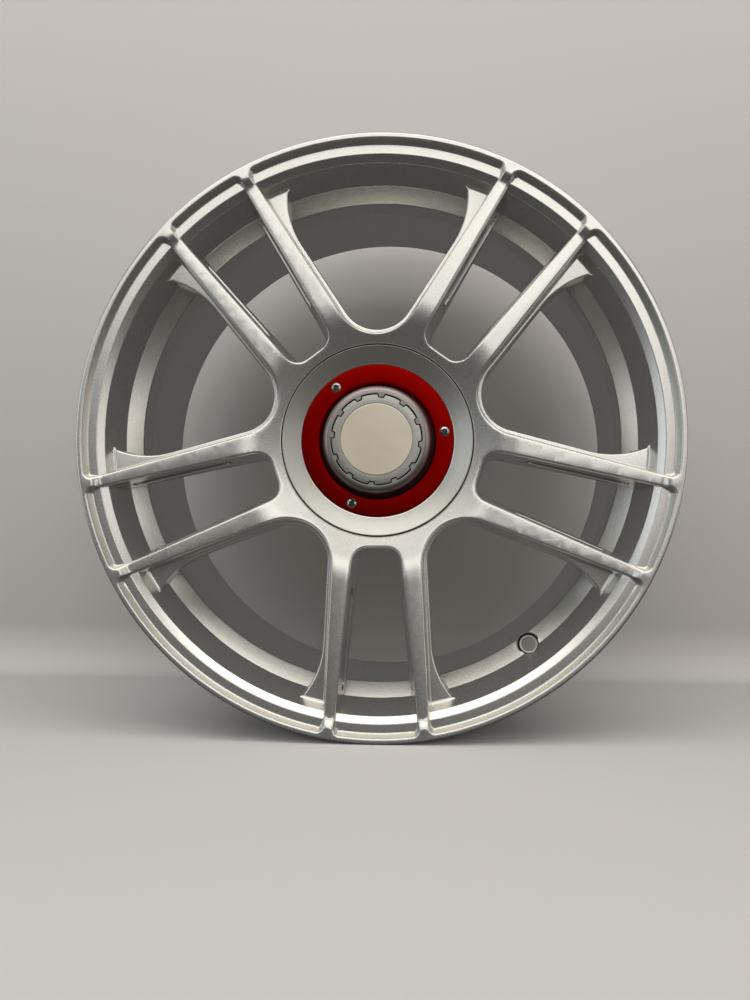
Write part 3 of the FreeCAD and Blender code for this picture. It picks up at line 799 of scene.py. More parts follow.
VALVE_R, VALVE_EDGE_R, VALVE_FACE_R, VALVE_BOSS_R = 5.65, 7.2, 8.3, 9.4
VALVE_LEAN, VALVE_ANGLE, VALVE_PLACE_R = math.radians(14.0), FIRST_WIDE + 0.6, 204.4
BOSS_ROOT, TOOL_REACH = 1.5, 24.0
valve_place = np.array([VALVE_PLACE_R, 0.0, SLOPE_DEPTH + SLOPE_R - VALVE_PLACE_R])
valve_line = np.array([-math.sin(VALVE_LEAN), 0.0, -math.cos(VALVE_LEAN)])
slope_normal = np.array([-math.sqrt(0.5), 0.0, -math.sqrt(0.5)])
boss_profile = [(-1.0, 0.9), (0.0, 0.3), (0.5, 0.0), (0.8, -0.4)]
boss_steps = [(height, VALVE_BOSS_R + wider) for height, wider in boss_profile]
boss_points, boss_faces = pin(boss_steps, valve_place, valve_line)
above = (boss_points[:PIN_TURNS] - valve_place) @ slope_normal
sink = np.maximum(above + BOSS_ROOT, 0.0) / (valve_line @ slope_normal)
boss_points[:PIN_TURNS] -= sink[:, None] * valve_line
boss = closed_object("valve_boss", about_axis(boss_points, VALVE_ANGLE), boss_faces)
valve_steps = [
    (-TOOL_REACH, VALVE_R),
    (VALVE_R - VALVE_EDGE_R, VALVE_R),
    (0.0, VALVE_EDGE_R),
    (0.0, VALVE_FACE_R),
    (TOOL_REACH, VALVE_FACE_R),
]
valve_points, valve_faces = pin(valve_steps, valve_place, valve_line)
valve_tool = closed_object("valve_tool", about_axis(valve_points, VALVE_ANGLE), valve_faces)
rim_body = closed_object("rim", rim_points, rim_faces)
rim_mesh = combined(rim_body, [("UNION", boss), ("DIFFERENCE", valve_tool)])
print("rim faces", len(rim_mesh.polygons))

# %% [markdown]
# The hub is a thick ring: a recess for the trim at the front, a flat pad with five tapered bolt holes, a
# stepped bore, and the mounting face at the back with a shallow pocket between every two holes.

# %% hub
HUB_BORE_R, HUB_BORE_LENGTH, HUB_BORE_CHAMFER, CLIP_BORE_R = 36.55, 12.0, 1.5, 38.7
BOLT_CIRCLE_R, BOLT_R, BOLT_SEAT_R, BOLT_SEAT_DEPTH, PAD_THICKNESS = 56.0, 7.5, 12.0, 7.794, 22.0
POCKET_R, POCKET_DEPTH, POCKET_REACH, TOOL_PAST = 13.0, 9.0, 90.0, 3.0
hub_section = rounded_section([
    (DISH_R, DISH_DEPTH, 0.0),
    (RECESS_R, DISH_DEPTH + 0.8, 0.0),
    (RECESS_R, PAD_DEPTH, 1.0),
    (CLIP_BORE_R, PAD_DEPTH, 0.5),
    (CLIP_BORE_R, FACE_DEPTH - HUB_BORE_LENGTH, 0.0),
    (HUB_BORE_R, FACE_DEPTH - HUB_BORE_LENGTH, 0.3),
    (HUB_BORE_R, FACE_DEPTH - HUB_BORE_CHAMFER, 0.0),
    (HUB_BORE_R + HUB_BORE_CHAMFER, FACE_DEPTH, 0.0),
    (PAD_R, FACE_DEPTH, 1.5),
    (PAD_SIDE_R, PAD_SIDE_DEPTH, 0.0),
    (80.0, 40.0, 0.0),
])
hub_points, hub_faces = turned(hub_section, HUB_TURNS)
bolt_steps = [
    (-TOOL_PAST, BOLT_R),
    (PAD_THICKNESS - BOLT_SEAT_DEPTH, BOLT_R),
    (PAD_THICKNESS, BOLT_SEAT_R),
    (PAD_THICKNESS + 2.0, BOLT_SEAT_R),
]
hub_tools = []
for i in range(PAIRS):
    points, faces = pin(bolt_steps, np.array([BOLT_CIRCLE_R, 0.0, FACE_DEPTH]), FORWARD)
    hub_tools.append(("DIFFERENCE", closed_object("bolt_tool", about_axis(points, narrow_angles[i]), faces)))
    angles = np.radians(np.linspace(90.0, 270.0, 21))
    outline = np.column_stack([PAD_R + POCKET_R * np.cos(angles), POCKET_R * np.sin(angles)])
    outline = np.concatenate([outline, [[POCKET_REACH, -POCKET_R], [POCKET_REACH, POCKET_R]]])
    n = len(outline)
    levels = (FACE_DEPTH - POCKET_DEPTH, FACE_DEPTH + TOOL_PAST)
    points = np.concatenate([np.column_stack([outline, np.full(n, level)]) for level in levels])
    faces = grid_faces(2, n, True).tolist() + [list(range(n)), list(range(n, 2 * n))]
    hub_tools.append(("DIFFERENCE", closed_object("pocket_tool", about_axis(points, wide_angles[i]), faces)))
hub_mesh = combined(closed_object("hub", hub_points, hub_faces), hub_tools)
print("hub faces", len(hub_mesh.polygons))


# %% [markdown]
# ## One casting
# The sheets, the ten walls, the rim and the hub become one mesh. Points that fall together are merged, so
# the light flows over the rounds, and only true corners are marked sharp.

# %% join the casting
CASTING_BEND = 34.0


def read(collection, label, kind, width=1):
    """One property of every element as an array."""
    values = np.empty(len(collection) * width, kind)
    collection.foreach_get(label, values)
    return values.reshape(-1, width) if width > 1 else values


def mesh_arrays(mesh):
    """Points and faces of a mesh, as an array and a list."""
    return read(mesh.vertices, "co", float, 3), [list(p.vertices) for p in mesh.polygons]


def mesh_middles(mesh):
    """Middle of every face as (radius, angle in degrees, depth), about the wheel's axis."""
    x, y, z = read(mesh.polygons, "center", float, 3).T / MM
    return np.hypot(x, z), np.degrees(np.arctan2(z, x)), y - LIP_FRONT


def mark(mesh, label, faces):
    """A face attribute that a finish can read as a mask."""
    mesh.attributes.new(label, "FLOAT", "FACE").data.foreach_set("value", faces.astype(np.float32))


def sharpen(mesh, centre, reach, angle):
    """Marks an edge sharp if it lies within reach of centre and its faces differ by more than an angle."""
    normals = read(mesh.polygons, "normal", float, 3)
    face = np.repeat(np.arange(len(mesh.polygons)), read(mesh.polygons, "loop_total", int))
    edge = read(mesh.loops, "edge_index", int)
    order = np.argsort(edge, kind="stable")
    one, two = order[:-1], order[1:]
    level = (normals[face[one]] * normals[face[two]]).sum(axis=1)
    bent = edge[one[(edge[one] == edge[two]) & (level < math.cos(math.radians(angle)))]]
    ends = read(mesh.vertices, "co", float, 3)[read(mesh.edges, "vertices", int, 2)].mean(axis=1)
    sharp = read(mesh.attributes["sharp_edge"].data, "value", bool)
    sharp[bent[np.linalg.norm(ends[bent] - centre, axis=1) < reach]] = True
    mesh.attributes["sharp_edge"].data.foreach_set("value", sharp)


def copies(rows, open_side, closed, angles):
    """A grid of points repeated at angles about the axis, with its faces turned to the open side."""
    faces = grid_faces(*rows.shape[:2], closed)
    made = []
    for angle in angles:
        points = stand_up(about_axis(rows.reshape(-1, 3), angle))
        outward = about_axis(open_side, angle)[:, [0, 2, 1]]
        made.append((points, facing(points, faces, outward).tolist()))
    return made


parts = [mesh_arrays(rim_mesh), mesh_arrays(hub_mesh)]
for plan, faces, way in ((front_sheet, front_faces, -1.0), (back_sheet, back_faces, 1.0)):
    points = stand_up(plan)
    outward = np.tile([0.0, way, 0.0], (len(points), 1))
    parts.append((points, facing(points, faces, outward).tolist()))
for rows, into, angles in ((narrow_rows, narrow_into, narrow_angles), (wide_rows, upper_into, wide_angles)):
    open_side = np.column_stack([-np.tile(into, (len(rows), 1)), np.zeros(rows.size // 3)])
    parts += copies(rows, open_side, True, angles)
for side in (1.0, -1.0):
    rows = hollow_rows * [1.0, side, 1.0]
    flat = rows.reshape(-1, 3)
    to_axis = np.column_stack([-flat[:, :2] / LEDGE_R, np.full(len(flat), -1.0)])
    parts += copies(rows, to_axis, False, wide_angles)

offset, all_points, all_faces = 0, [], []
for points, faces in parts:
    all_points.append(points)
    all_faces += [[index + offset for index in face] for face in faces]
    offset += len(points)
casting = make_object("wheel_casting", np.concatenate(all_points), all_faces)
merge(casting.data, CASTING_MERGE, False)
casting.data.shade_smooth()
casting.data.set_sharp_from_angle(angle=math.radians(CASTING_BEND))
print("casting points", len(casting.data.vertices))

# %% [markdown]
# Some places need another colour: the countersunk edge of the valve hole looks like unpainted metal. The wall
# of the hub's recess, the valve's bore and the flat ring of its seat lie out of the light and are painted
# near-black as painted shade, and the floor of the slots is painted darker than the spokes as painted shade.
# A face attribute marks each of them. Near the valve the edges are marked sharp at a small angle, so that no
# shading runs across its seat.

# %% places with a colour of their own: an unpainted edge, and painted shade
VALVE_REACH, VALVE_BEND = 0.014, 14.0
SLOT_REACH = 16.3
axis_place = stand_up(about_axis(valve_place[None], VALVE_ANGLE))[0]
axis_line = about_axis(valve_line[None], VALVE_ANGLE)[0][[0, 2, 1]]
sharpen(casting.data, axis_place, VALVE_REACH, VALVE_BEND)
offsets = read(casting.data.polygons, "center", float, 3) - axis_place
heights = offsets @ axis_line / MM
reach = np.linalg.norm(offsets - np.outer(heights * MM, axis_line), axis=1) / MM
bare = (reach > VALVE_R + 0.1) & (reach < VALVE_EDGE_R) & (heights < -0.1) & (heights > -2.0)
mark(casting.data, "bare", bare)
radius, angle, depth = mesh_middles(casting.data)
# painted shade: the recess wall, the valve's bore and its seat are marked deep, to be painted near-black
deep = (np.abs(radius - RECESS_R) < 0.4) & (depth > 19.2)
deep |= (reach < VALVE_R + 0.1) & (np.abs(heights) < 12.0)
deep |= (reach > VALVE_EDGE_R + 0.02) & (reach < VALVE_FACE_R + 0.1) & (np.abs(heights) < 1.2)
mark(casting.data, "deep", deep)
# painted shade: faces in the milled slots are marked, to be painted darker than the spokes
turn = np.radians((angle - FIRST_NARROW + PAIR_ANGLE / 2) % PAIR_ANGLE - PAIR_ANGLE / 2)
along, across = radius * np.cos(turn), np.abs(radius * np.sin(turn))
slot_shade = slot_cut(along, depth) / SLOT_CUT * (across < SLOT_REACH + along * slope_of(NARROW_LEAN))
mark(casting.data, "slot_shade", slot_shade)
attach(casting, "root")
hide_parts("wheel")
print("casting triangles", sum(len(p.vertices) - 2 for p in casting.data.polygons))

# %% [markdown]
# ## Trim of the hub
# The red ring, the collar, the cap and its disc are turned pieces, and their edges are broken by small
# rounds that catch the light as thin lines. They are swept from rounded sections like the rim. The screw
# seats are cut out of the ring, twelve small tabs are joined to the collar's mouth, and the cap gets a
# notch for every tab.

# %% helpers for trim pieces
COLLAR_DEPTH, CAP_SEAT_DEPTH = 9.5, 13.8
MOUTH_R, BORE_R, CAP_GAP = 36.0, 32.5, 0.95
RING_DEPTH, RING_SEAT_DEPTH, SCREW_DEPTH = 23.8, 27.8, 25.0
DISC_R, DISC_FLAT_R, DISC_RECESS = 28.2, 27.4, 1.2
RING_R, RING_INNER_R, RING_BEVEL, RING_EDGE = 60.9, 45.2, 1.8, 0.8
SCREW_ANGLES = [7.7 + 120.0 * i for i in range(3)]
SCREW_CIRCLE_R = RING_INNER_R + (RING_R - RING_INNER_R) * 0.56
SCREW_SEAT_R, SCREW_HOLE_R = 4.65, 2.7
COLLAR_R, SHOULDER_R, SHOULDER_ROUND, SPIGOT_R, SPIGOT_LENGTH = 44.2, 41.6, 5.5, 35.8, 6.0
CAP_SKIRT_R, CAP_SKIRT_LENGTH, CAP_FIT = 30.1, 10.0, 0.2
TABS, FIRST_TAB = 12, 23.6
TRIM_TURNS, TRIM_BEND, DARK_EDGE = 180, 30.0, 0.3


def trim_piece(name, node, slot, mesh, **marks):
    """A trim piece with its marks: faces of deep gaps and sockets get painted shade, and the rims of the
    screws a painted highlight.
    """
    thing = bpy.data.objects.new(name, mesh)
    bpy.context.scene.collection.objects.link(thing)
    mesh.shade_smooth()
    mesh.set_sharp_from_angle(angle=math.radians(TRIM_BEND))
    for label, faces in marks.items():
        mark(mesh, label, faces)
    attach(thing, "root")
    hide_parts(node)
    print(name, "triangles", sum(len(p.vertices) - 2 for p in mesh.polygons))
    return thing


def repeated(name, points, faces, angles):
    """One closed object with a shape repeated at angles about the axis."""
    shifted = [[i + k * len(points) for i in face] for k in range(len(angles)) for face in faces]
    return closed_object(name, np.concatenate([about_axis(points, angle) for angle in angles]), shifted)


def blocks(inner, outer, inner_half, outer_half, low, high):
    """Twelve tapered blocks round the axis as one closed object: radii, half widths at both, and depths."""
    flat = np.array([[inner, -inner_half], [outer, -outer_half], [outer, outer_half], [inner, inner_half]])
    one = np.concatenate([np.column_stack([flat, np.full(4, d)]) for d in (low, high)])
    faces = [[0, 1, 2, 3], [7, 6, 5, 4], [0, 4, 5, 1], [1, 5, 6, 2], [2, 6, 7, 3], [3, 7, 4, 0]]
    return repeated("blocks", one, faces, [FIRST_TAB + 360.0 / TABS * i for i in range(TABS)])


# %% [markdown]
# The screws are button heads: a slice of a ball on a seat, with a six-sided socket. Each is turned about
# its own axis and the socket is cut with a six-sided pin.

# %% ring and screws
def at_screws(name, steps, turns):
    """One object with a pin at each screw's place, pointing forwards from its seat."""
    points, faces = pin(steps, np.array([SCREW_CIRCLE_R, 0.0, SCREW_DEPTH]), FORWARD, turns)
    return repeated(name, points, faces, SCREW_ANGLES)


ring_section = rounded_section([
    (RING_INNER_R, RING_SEAT_DEPTH, 0.0),
    (RING_R, RING_SEAT_DEPTH, 0.0),
    (RING_R, RING_DEPTH + RING_EDGE, 0.3),
    (RING_R - RING_EDGE, RING_DEPTH, 0.5),
    (RING_INNER_R + RING_BEVEL, RING_DEPTH, 0.6),
    (RING_INNER_R, RING_DEPTH + RING_BEVEL, 0.5),
])
seat_steps = [(-8.0, SCREW_HOLE_R), (0.0, SCREW_HOLE_R), (0.0, SCREW_SEAT_R), (8.0, SCREW_SEAT_R)]
ring_seats = at_screws("seats", seat_steps, PIN_TURNS)
ring_mesh = combined(closed_object("ring", *turned(ring_section, TRIM_TURNS)), [("DIFFERENCE", ring_seats)])
ring = trim_piece("red_ring", "trim_ring", "red_anodised", ring_mesh)

HEAD_R, HEAD_HEIGHT, HEAD_RIM_R = 4.3, 2.5, 3.3
SOCKET_R, SOCKET_DEPTH, SHANK_R, SHANK_LENGTH = 2.2, 1.5, 2.5, 6.0
ball = (HEAD_R**2 + HEAD_HEIGHT**2) / (2 * HEAD_HEIGHT)
heights = np.linspace(0.0, HEAD_HEIGHT - 0.01, 10)
dome = np.column_stack([heights, np.sqrt(ball**2 - (heights + ball - HEAD_HEIGHT) ** 2)])
head_steps = np.concatenate([[[-SHANK_LENGTH, SHANK_R], [0.0, SHANK_R]], dome]).tolist()
sockets = at_screws("sockets", [(HEAD_HEIGHT - SOCKET_DEPTH, SOCKET_R), (2 * HEAD_HEIGHT, SOCKET_R)], 6)
screw_mesh = combined(at_screws("screws", head_steps, 40), [("DIFFERENCE", sockets)])
radius, angle, _ = mesh_middles(screw_mesh)
screw_away = np.stack([np.hypot(radius * np.cos(np.radians(angle - a)) - SCREW_CIRCLE_R,
                                radius * np.sin(np.radians(angle - a))) for a in SCREW_ANGLES]).min(axis=0)
# the rim of each screw head gets a painted highlight, and its socket painted shade
screws = trim_piece("button_screws", "ring_screws", "dark_steel", screw_mesh, deep=screw_away < SOCKET_R,
                    bare=screw_away > HEAD_RIM_R)

# %% [markdown]
# Between the cap and the collar runs a narrow gap that steps round the tabs. It is deep and unlit, so on
# the real wheel it reads as a fine black line: the walls of the gap are painted near-black, as painted shade.

# %% collar, cap and disc
collar_section = rounded_section([
    (BORE_R, RING_SEAT_DEPTH + SPIGOT_LENGTH, 0.0),
    (SPIGOT_R, RING_SEAT_DEPTH + SPIGOT_LENGTH, 0.0),
    (SPIGOT_R, RING_SEAT_DEPTH, 0.0),
    (COLLAR_R, RING_SEAT_DEPTH, 0.0),
    (SHOULDER_R, COLLAR_DEPTH, SHOULDER_ROUND),
    (MOUTH_R, COLLAR_DEPTH, 0.25),
    (MOUTH_R, CAP_SEAT_DEPTH, 0.0),
    (BORE_R, CAP_SEAT_DEPTH, 0.0),
], 12)
tabs = blocks(inner=33.6, outer=36.6, inner_half=1.6, outer_half=3.0,
              low=COLLAR_DEPTH + 0.06, high=COLLAR_DEPTH + 2.2)
collar_mesh = combined(closed_object("collar", *turned(collar_section, TRIM_TURNS)), [("UNION", tabs)])
radius, _, depth = mesh_middles(collar_mesh)
# painted shade: the collar's walls of the gap are marked deep
collar = trim_piece("collar", "lock_collar", "grey_anodised", collar_mesh,
                    deep=(radius < MOUTH_R + DARK_EDGE) & (depth > COLLAR_DEPTH + DARK_EDGE))

CAP_FALL = 0.35
cap_section = rounded_section([
    (0.0, CAP_SEAT_DEPTH + 1.0, 0.0),
    (CAP_SKIRT_R, CAP_SEAT_DEPTH + 1.0, 0.0),
    (CAP_SKIRT_R, CAP_SEAT_DEPTH + CAP_SKIRT_LENGTH, 0.0),
    (BORE_R - CAP_FIT, CAP_SEAT_DEPTH + CAP_SKIRT_LENGTH, 0.0),
    (BORE_R - CAP_FIT, CAP_SEAT_DEPTH, 0.0),
    (MOUTH_R - CAP_GAP, CAP_SEAT_DEPTH, 0.0),
    (MOUTH_R - CAP_GAP, COLLAR_DEPTH + CAP_FALL, 0.25),
    (DISC_R + CAP_FIT, COLLAR_DEPTH, 0.2),
    (DISC_R + CAP_FIT, COLLAR_DEPTH + DISC_RECESS, 0.0),
    (0.0, COLLAR_DEPTH + DISC_RECESS, 0.0),
])
notches = blocks(inner=32.65, outer=36.6, inner_half=2.2, outer_half=3.95,
                 low=COLLAR_DEPTH - 2.0, high=COLLAR_DEPTH + 2.9)
cap_mesh = combined(closed_object("cap", *turned(cap_section, TRIM_TURNS)), [("DIFFERENCE", notches)])
radius, _, depth = mesh_middles(cap_mesh)
# painted shade: the cap's walls of the gap are marked deep
cap = trim_piece("cap", "centre_cap", "cap_silver", cap_mesh,
                 deep=(radius > 31.0) & (depth > COLLAR_DEPTH + CAP_FALL + DARK_EDGE))

DISC_CROWN, DISC_PROUD = 0.3, 0.4
reach = np.linspace(DISC_FLAT_R, 0.0, 10)
crown = COLLAR_DEPTH - DISC_PROUD - DISC_CROWN * (1 - (reach / DISC_FLAT_R) ** 2)
disc_section = rounded_section([
    (0.0, COLLAR_DEPTH + DISC_RECESS, 0.0),
    (DISC_R, COLLAR_DEPTH + DISC_RECESS, 0.0),
    (DISC_R, COLLAR_DEPTH + 0.2, 0.3),
    *np.column_stack([reach, crown, np.zeros(len(reach))]).tolist(),
])
disc_mesh = combined(closed_object("disc", *turned(disc_section, TRIM_TURNS)), [])
disc = trim_piece("disc", "cap_disc", "cream_disc", disc_mesh)

# %% [markdown]
# ## Finishes
# A satin silver paint holds flat metal flakes in a clear binder. Seen close, each flake is a little lighter
# or darker than the next, and the paint's skin has a faint waviness. Both effects serve several finishes,
# so they are node groups that put out masks and heights, and every material keeps its own shader.

# %% node groups for flakes and for turned lines
def new_group(name, inputs, outputs):
    """An empty shader node group with named float inputs and outputs, and its input and output nodes."""
    group = bpy.data.node_groups.new(name, "ShaderNodeTree")
    for label, value in inputs:
        socket = group.interface.new_socket(name=label, in_out="INPUT", socket_type="NodeSocketFloat")
        socket.default_value = value
    for label in outputs:
        group.interface.new_socket(name=label, in_out="OUTPUT", socket_type="NodeSocketFloat")
    return group, group.nodes.new("NodeGroupInput"), group.nodes.new("NodeGroupOutput")


def add(tree, kind, settings=None, **values):
    """A node with its settings and its input values, all given by name."""
    node = tree.nodes.new(kind)
    for label, value in (settings or {}).items():
        setattr(node, label, value)
    for label, value in values.items():
        node.inputs[label.replace("_", " ")].default_value = value
    return node


def blend(tree, factor, first, second, kind="RGBA"):
    """Socket with two colours, or two values, mixed by a factor socket. Either may be given as a socket."""
    mix = add(tree, "ShaderNodeMix", {"data_type": "FLOAT" if kind == "VALUE" else kind})
    tree.links.new(factor, mix.inputs["Factor"])
    ends = [s for s in mix.inputs if s.type == kind and s.name in ("A", "B")]
    for socket, given in zip(ends, (first, second)):
        if isinstance(given, bpy.types.NodeSocket):
            tree.links.new(given, socket)
        else:
            socket.default_value = (*given, 1.0) if kind == "RGBA" else given
    return [s for s in mix.outputs if s.type == kind][0]


def from_axis(tree):
    """Socket with the distance from the wheel's axis."""
    place = add(tree, "ShaderNodeTexCoord")
    flatten = add(tree, "ShaderNodeVectorMath", {"operation": "MULTIPLY"})
    flatten.inputs[1].default_value = (1.0, 0.0, 1.0)
    radius = add(tree, "ShaderNodeVectorMath", {"operation": "LENGTH"})
    tree.links.new(place.outputs["Object"], flatten.inputs[0])
    tree.links.new(flatten.outputs["Vector"], radius.inputs[0])
    return radius.outputs["Value"]


def rising(tree, axis, low, high, space="Object", start=0.0, end=1.0):
    """Socket that goes from start to end while a coordinate goes from low to high."""
    place = add(tree, "ShaderNodeTexCoord")
    parts = add(tree, "ShaderNodeSeparateXYZ")
    rise = add(tree, "ShaderNodeMapRange", From_Min=low, From_Max=high, To_Min=start, To_Max=end)
    tree.links.new(place.outputs[space], parts.inputs["Vector"])
    tree.links.new(parts.outputs[axis], rise.inputs["Value"])
    return rise.outputs["Result"]


def flake_group():
    """Flake: a random value for every small cell. Skin: smooth noise, for waviness. Cloud: broad noise."""
    group, start, end = new_group("paint_flakes", [("Flakes per metre", 2600.0), ("Waves per metre", 420.0)],
                                  ["Flake", "Skin", "Cloud"])
    place = group.nodes.new("ShaderNodeTexCoord")
    cells = add(group, "ShaderNodeTexVoronoi")
    random = group.nodes.new("ShaderNodeSeparateColor")
    skin = add(group, "ShaderNodeTexNoise", Detail=2.0)
    cloud = add(group, "ShaderNodeTexNoise", Scale=14.0, Detail=3.0)
    link = group.links.new
    for texture in (cells, skin, cloud):
        link(place.outputs["Object"], texture.inputs["Vector"])
    link(start.outputs["Flakes per metre"], cells.inputs["Scale"])
    link(start.outputs["Waves per metre"], skin.inputs["Scale"])
    link(cells.outputs["Color"], random.inputs["Color"])
    link(random.outputs["Red"], end.inputs["Flake"])
    link(skin.outputs["Fac"], end.inputs["Skin"])
    link(cloud.outputs["Fac"], end.inputs["Cloud"])
    return group


def turned_group():
    """Lines: noise that depends only on the distance from the wheel's axis, as a lathe leaves it."""
    group, start, end = new_group("turned_lines", [("Lines per metre", 3000.0)], ["Lines"])
    lines = add(group, "ShaderNodeTexNoise", {"noise_dimensions": "1D"}, Detail=2.0)
    link = group.links.new
    link(from_axis(group), lines.inputs["W"])
    link(start.outputs["Lines per metre"], lines.inputs["Scale"])
    link(lines.outputs["Fac"], end.inputs["Lines"])
    return group


paint_flakes = flake_group()
turned_lines = turned_group()
print("node groups:", paint_flakes.name, turned_lines.name)


# %% [markdown]
# One function makes a finish from two shades, a range of roughness and a bump. The mask that chooses
# between the shades comes from a group, so a painted piece varies by flakes and a turned piece by its
# lines.

# %% materials
def finish(name, group, mask, height, dark, light, rough, bump, waves=None, **shader_values):
    """A principled material: mask mixes two shades and two roughnesses, height drives a small bump."""
    material = bpy.data.materials.new(name)
    material.use_nodes = True
    tree = material.node_tree
    shader = tree.nodes["Principled BSDF"]
    effect = tree.nodes.new("ShaderNodeGroup")
    effect.node_tree = group
    if waves:
        effect.inputs["Waves per metre"].default_value = waves
    spread = add(tree, "ShaderNodeMapRange", To_Min=rough[0], To_Max=rough[1])
    relief = add(tree, "ShaderNodeBump", Strength=bump[0], Distance=bump[1])
    link = tree.links.new
    link(blend(tree, effect.outputs[mask], dark, light), shader.inputs["Base Color"])
    link(effect.outputs[mask], spread.inputs["Value"])
    link(spread.outputs["Result"], shader.inputs["Roughness"])
    link(effect.outputs[height], relief.inputs["Height"])
    link(relief.outputs["Normal"], shader.inputs["Normal"])
    for label, value in shader_values.items():
        shader.inputs[label.replace("_", " ")].default_value = value
    return material


silver = finish("silver_paint", paint_flakes, "Flake", "Skin", (0.63, 0.62, 0.58), (0.70, 0.69, 0.645),
                (0.27, 0.34), (0.12, 0.0002), Metallic=0.95, Coat_Weight=0.3, Coat_Roughness=0.2)
cover_silver = finish("cover_paint", paint_flakes, "Flake", "Skin", (0.56, 0.555, 0.505), (0.64, 0.635, 0.58),
                      (0.32, 0.42), (0.12, 0.0002), Metallic=0.95, Coat_Weight=0.2, Coat_Roughness=0.2)
red = finish("red_anodised", turned_lines, "Lines", "Lines", (0.17, 0.001, 0.0005), (0.25, 0.0015, 0.0008),
             (0.28, 0.40), (0.10, 0.0001), Metallic=1.0)
screw_steel = finish("screw_steel", paint_flakes, "Cloud", "Skin", (0.42, 0.41, 0.39), (0.62, 0.60, 0.57),
                     (0.22, 0.34), (0.1, 0.0002), Metallic=1.0)
grey_collar = finish("grey_anodised", turned_lines, "Lines", "Lines", (0.27, 0.25, 0.235), (0.33, 0.31, 0.29),
                     (0.34, 0.44), (0.06, 0.0001), Metallic=0.95)
cap_silver = finish("cap_silver", paint_flakes, "Flake", "Skin", (0.36, 0.35, 0.32), (0.46, 0.45, 0.41),
                    (0.34, 0.42), (0.10, 0.0002), Metallic=0.9)
cream = finish("cream_disc", paint_flakes, "Cloud", "Skin", (0.64, 0.58, 0.44), (0.74, 0.68, 0.52),
               (0.24, 0.34), (0.3, 0.004), waves=30.0, Coat_Weight=0.6, Coat_Roughness=0.12)
spring_steel = finish("spring_steel", paint_flakes, "Cloud", "Skin", (0.28, 0.28, 0.29), (0.42, 0.42, 0.43),
                      (0.3, 0.45), (0.1, 0.0002), Metallic=1.0)
print("finishes:", len(bpy.data.materials))


# %% [markdown]
# A piece isn't the same all over. A mask chooses where its finish gives way to another: a face attribute, a
# band between two radii, or a rise with the depth. Most of these are painted light: the dark places are
# painted shade in gaps that no light reaches, the pale line round the cover and the rims of the screws are
# painted highlights, and the red at the collar's base is a painted reflection of the red ring. The pale
# countersunk edge of the valve hole stands for unpainted metal.

# %% places where a finish changes
def replace_where(material, mask, colour, rough):
    """Where a mask socket is one, the finish's colour and roughness give way to another pair."""
    tree = material.node_tree
    shader = tree.nodes["Principled BSDF"]
    for label, kind, value in (("Base Color", "RGBA", colour), ("Roughness", "VALUE", rough)):
        before = shader.inputs[label].links[0].from_socket
        tree.links.new(blend(tree, mask, before, value, kind), shader.inputs[label])


def marked(material, attribute):
    """Socket of a mesh attribute in a material."""
    return add(material.node_tree, "ShaderNodeAttribute", {"attribute_name": attribute}).outputs["Fac"]


def within(material, low, high):
    """Socket that is one where the distance from the wheel's axis lies between two radii."""
    tree = material.node_tree
    middle = add(tree, "ShaderNodeMath", {"operation": "COMPARE"})
    middle.inputs[1].default_value = (low + high) / 2 * MM
    middle.inputs[2].default_value = (high - low) / 2 * MM
    tree.links.new(from_axis(tree), middle.inputs[0])
    return middle.outputs["Value"]


# near-black and rough: the colour given to painted shade
UNLIT = (0.012, 0.012, 0.012), 0.7
# depths over which the collar takes on a painted reflection of the red ring
COLLAR_RED_DEPTH = 15.0
red_reflection_depths = [(depth + LIP_FRONT) * MM for depth in (COLLAR_DEPTH, COLLAR_RED_DEPTH)]
replace_where(silver, marked(silver, "bare"), (0.95, 0.94, 0.91), 0.55)
# painted reflection: the collar turns dark red towards its base, beside the red ring
replace_where(grey_collar, rising(grey_collar.node_tree, "Y", *red_reflection_depths), (0.24, 0.09, 0.08), 0.42)
# painted highlight: the rims of the screw heads are painted pale
replace_where(screw_steel, marked(screw_steel, "bare"), (0.90, 0.88, 0.84), 0.45)
# painted shade: the screw sockets are painted near-black
replace_where(screw_steel, marked(screw_steel, "deep"), (0.06, 0.06, 0.06), 0.4)
# painted highlight: a pale line on the cover along the red ring's outer edge
replace_where(cover_silver, within(cover_silver, 61.2, 61.9), (0.92, 0.90, 0.85), 0.3)
# painted shade: the cover seen round the collar, and the gap at the cover's rim, are painted near-black
replace_where(cover_silver, within(cover_silver, 30.0, 47.2), *UNLIT)
replace_where(cover_silver, within(cover_silver, 75.6, 78.0), *UNLIT)
# painted shade in the milled slots: darker paint where the mark is
replace_where(silver, marked(silver, "slot_shade"), (0.22, 0.215, 0.20), 0.45)
# painted shade: faces marked deep are painted near-black
for material in (silver, grey_collar, cap_silver):
    replace_where(material, marked(material, "deep"), *UNLIT)


def wear(thing, material):
    """The thing's only material."""
    thing.data.materials.clear()
    thing.data.materials.append(material)


for thing, node, material in (
    (casting, "wheel", silver),
    (ring, "trim_ring", red),
    (screws, "ring_screws", screw_steel),
    (collar, "lock_collar", grey_collar),
    (cap, "centre_cap", cap_silver),
    (disc, "cap_disc", cream),
):
    wear(thing, material)
    wear(nodes[node], material)
wear(nodes["hub_cover"], cover_silver)
wear(nodes["clip_spring"], spring_steel)
print("materials:", len(bpy.data.materials))

# %% [markdown]
# ## Studio
# The wheel stands on a pale floor that sweeps up into a wall close behind it. Only the camera sees the
# sweep as pale: for reflections the floor is dark, so that it doesn't light the wheel from below, and the
# wall lets light through, so that it doesn't shade the barrel. From behind the wall can't be seen either.

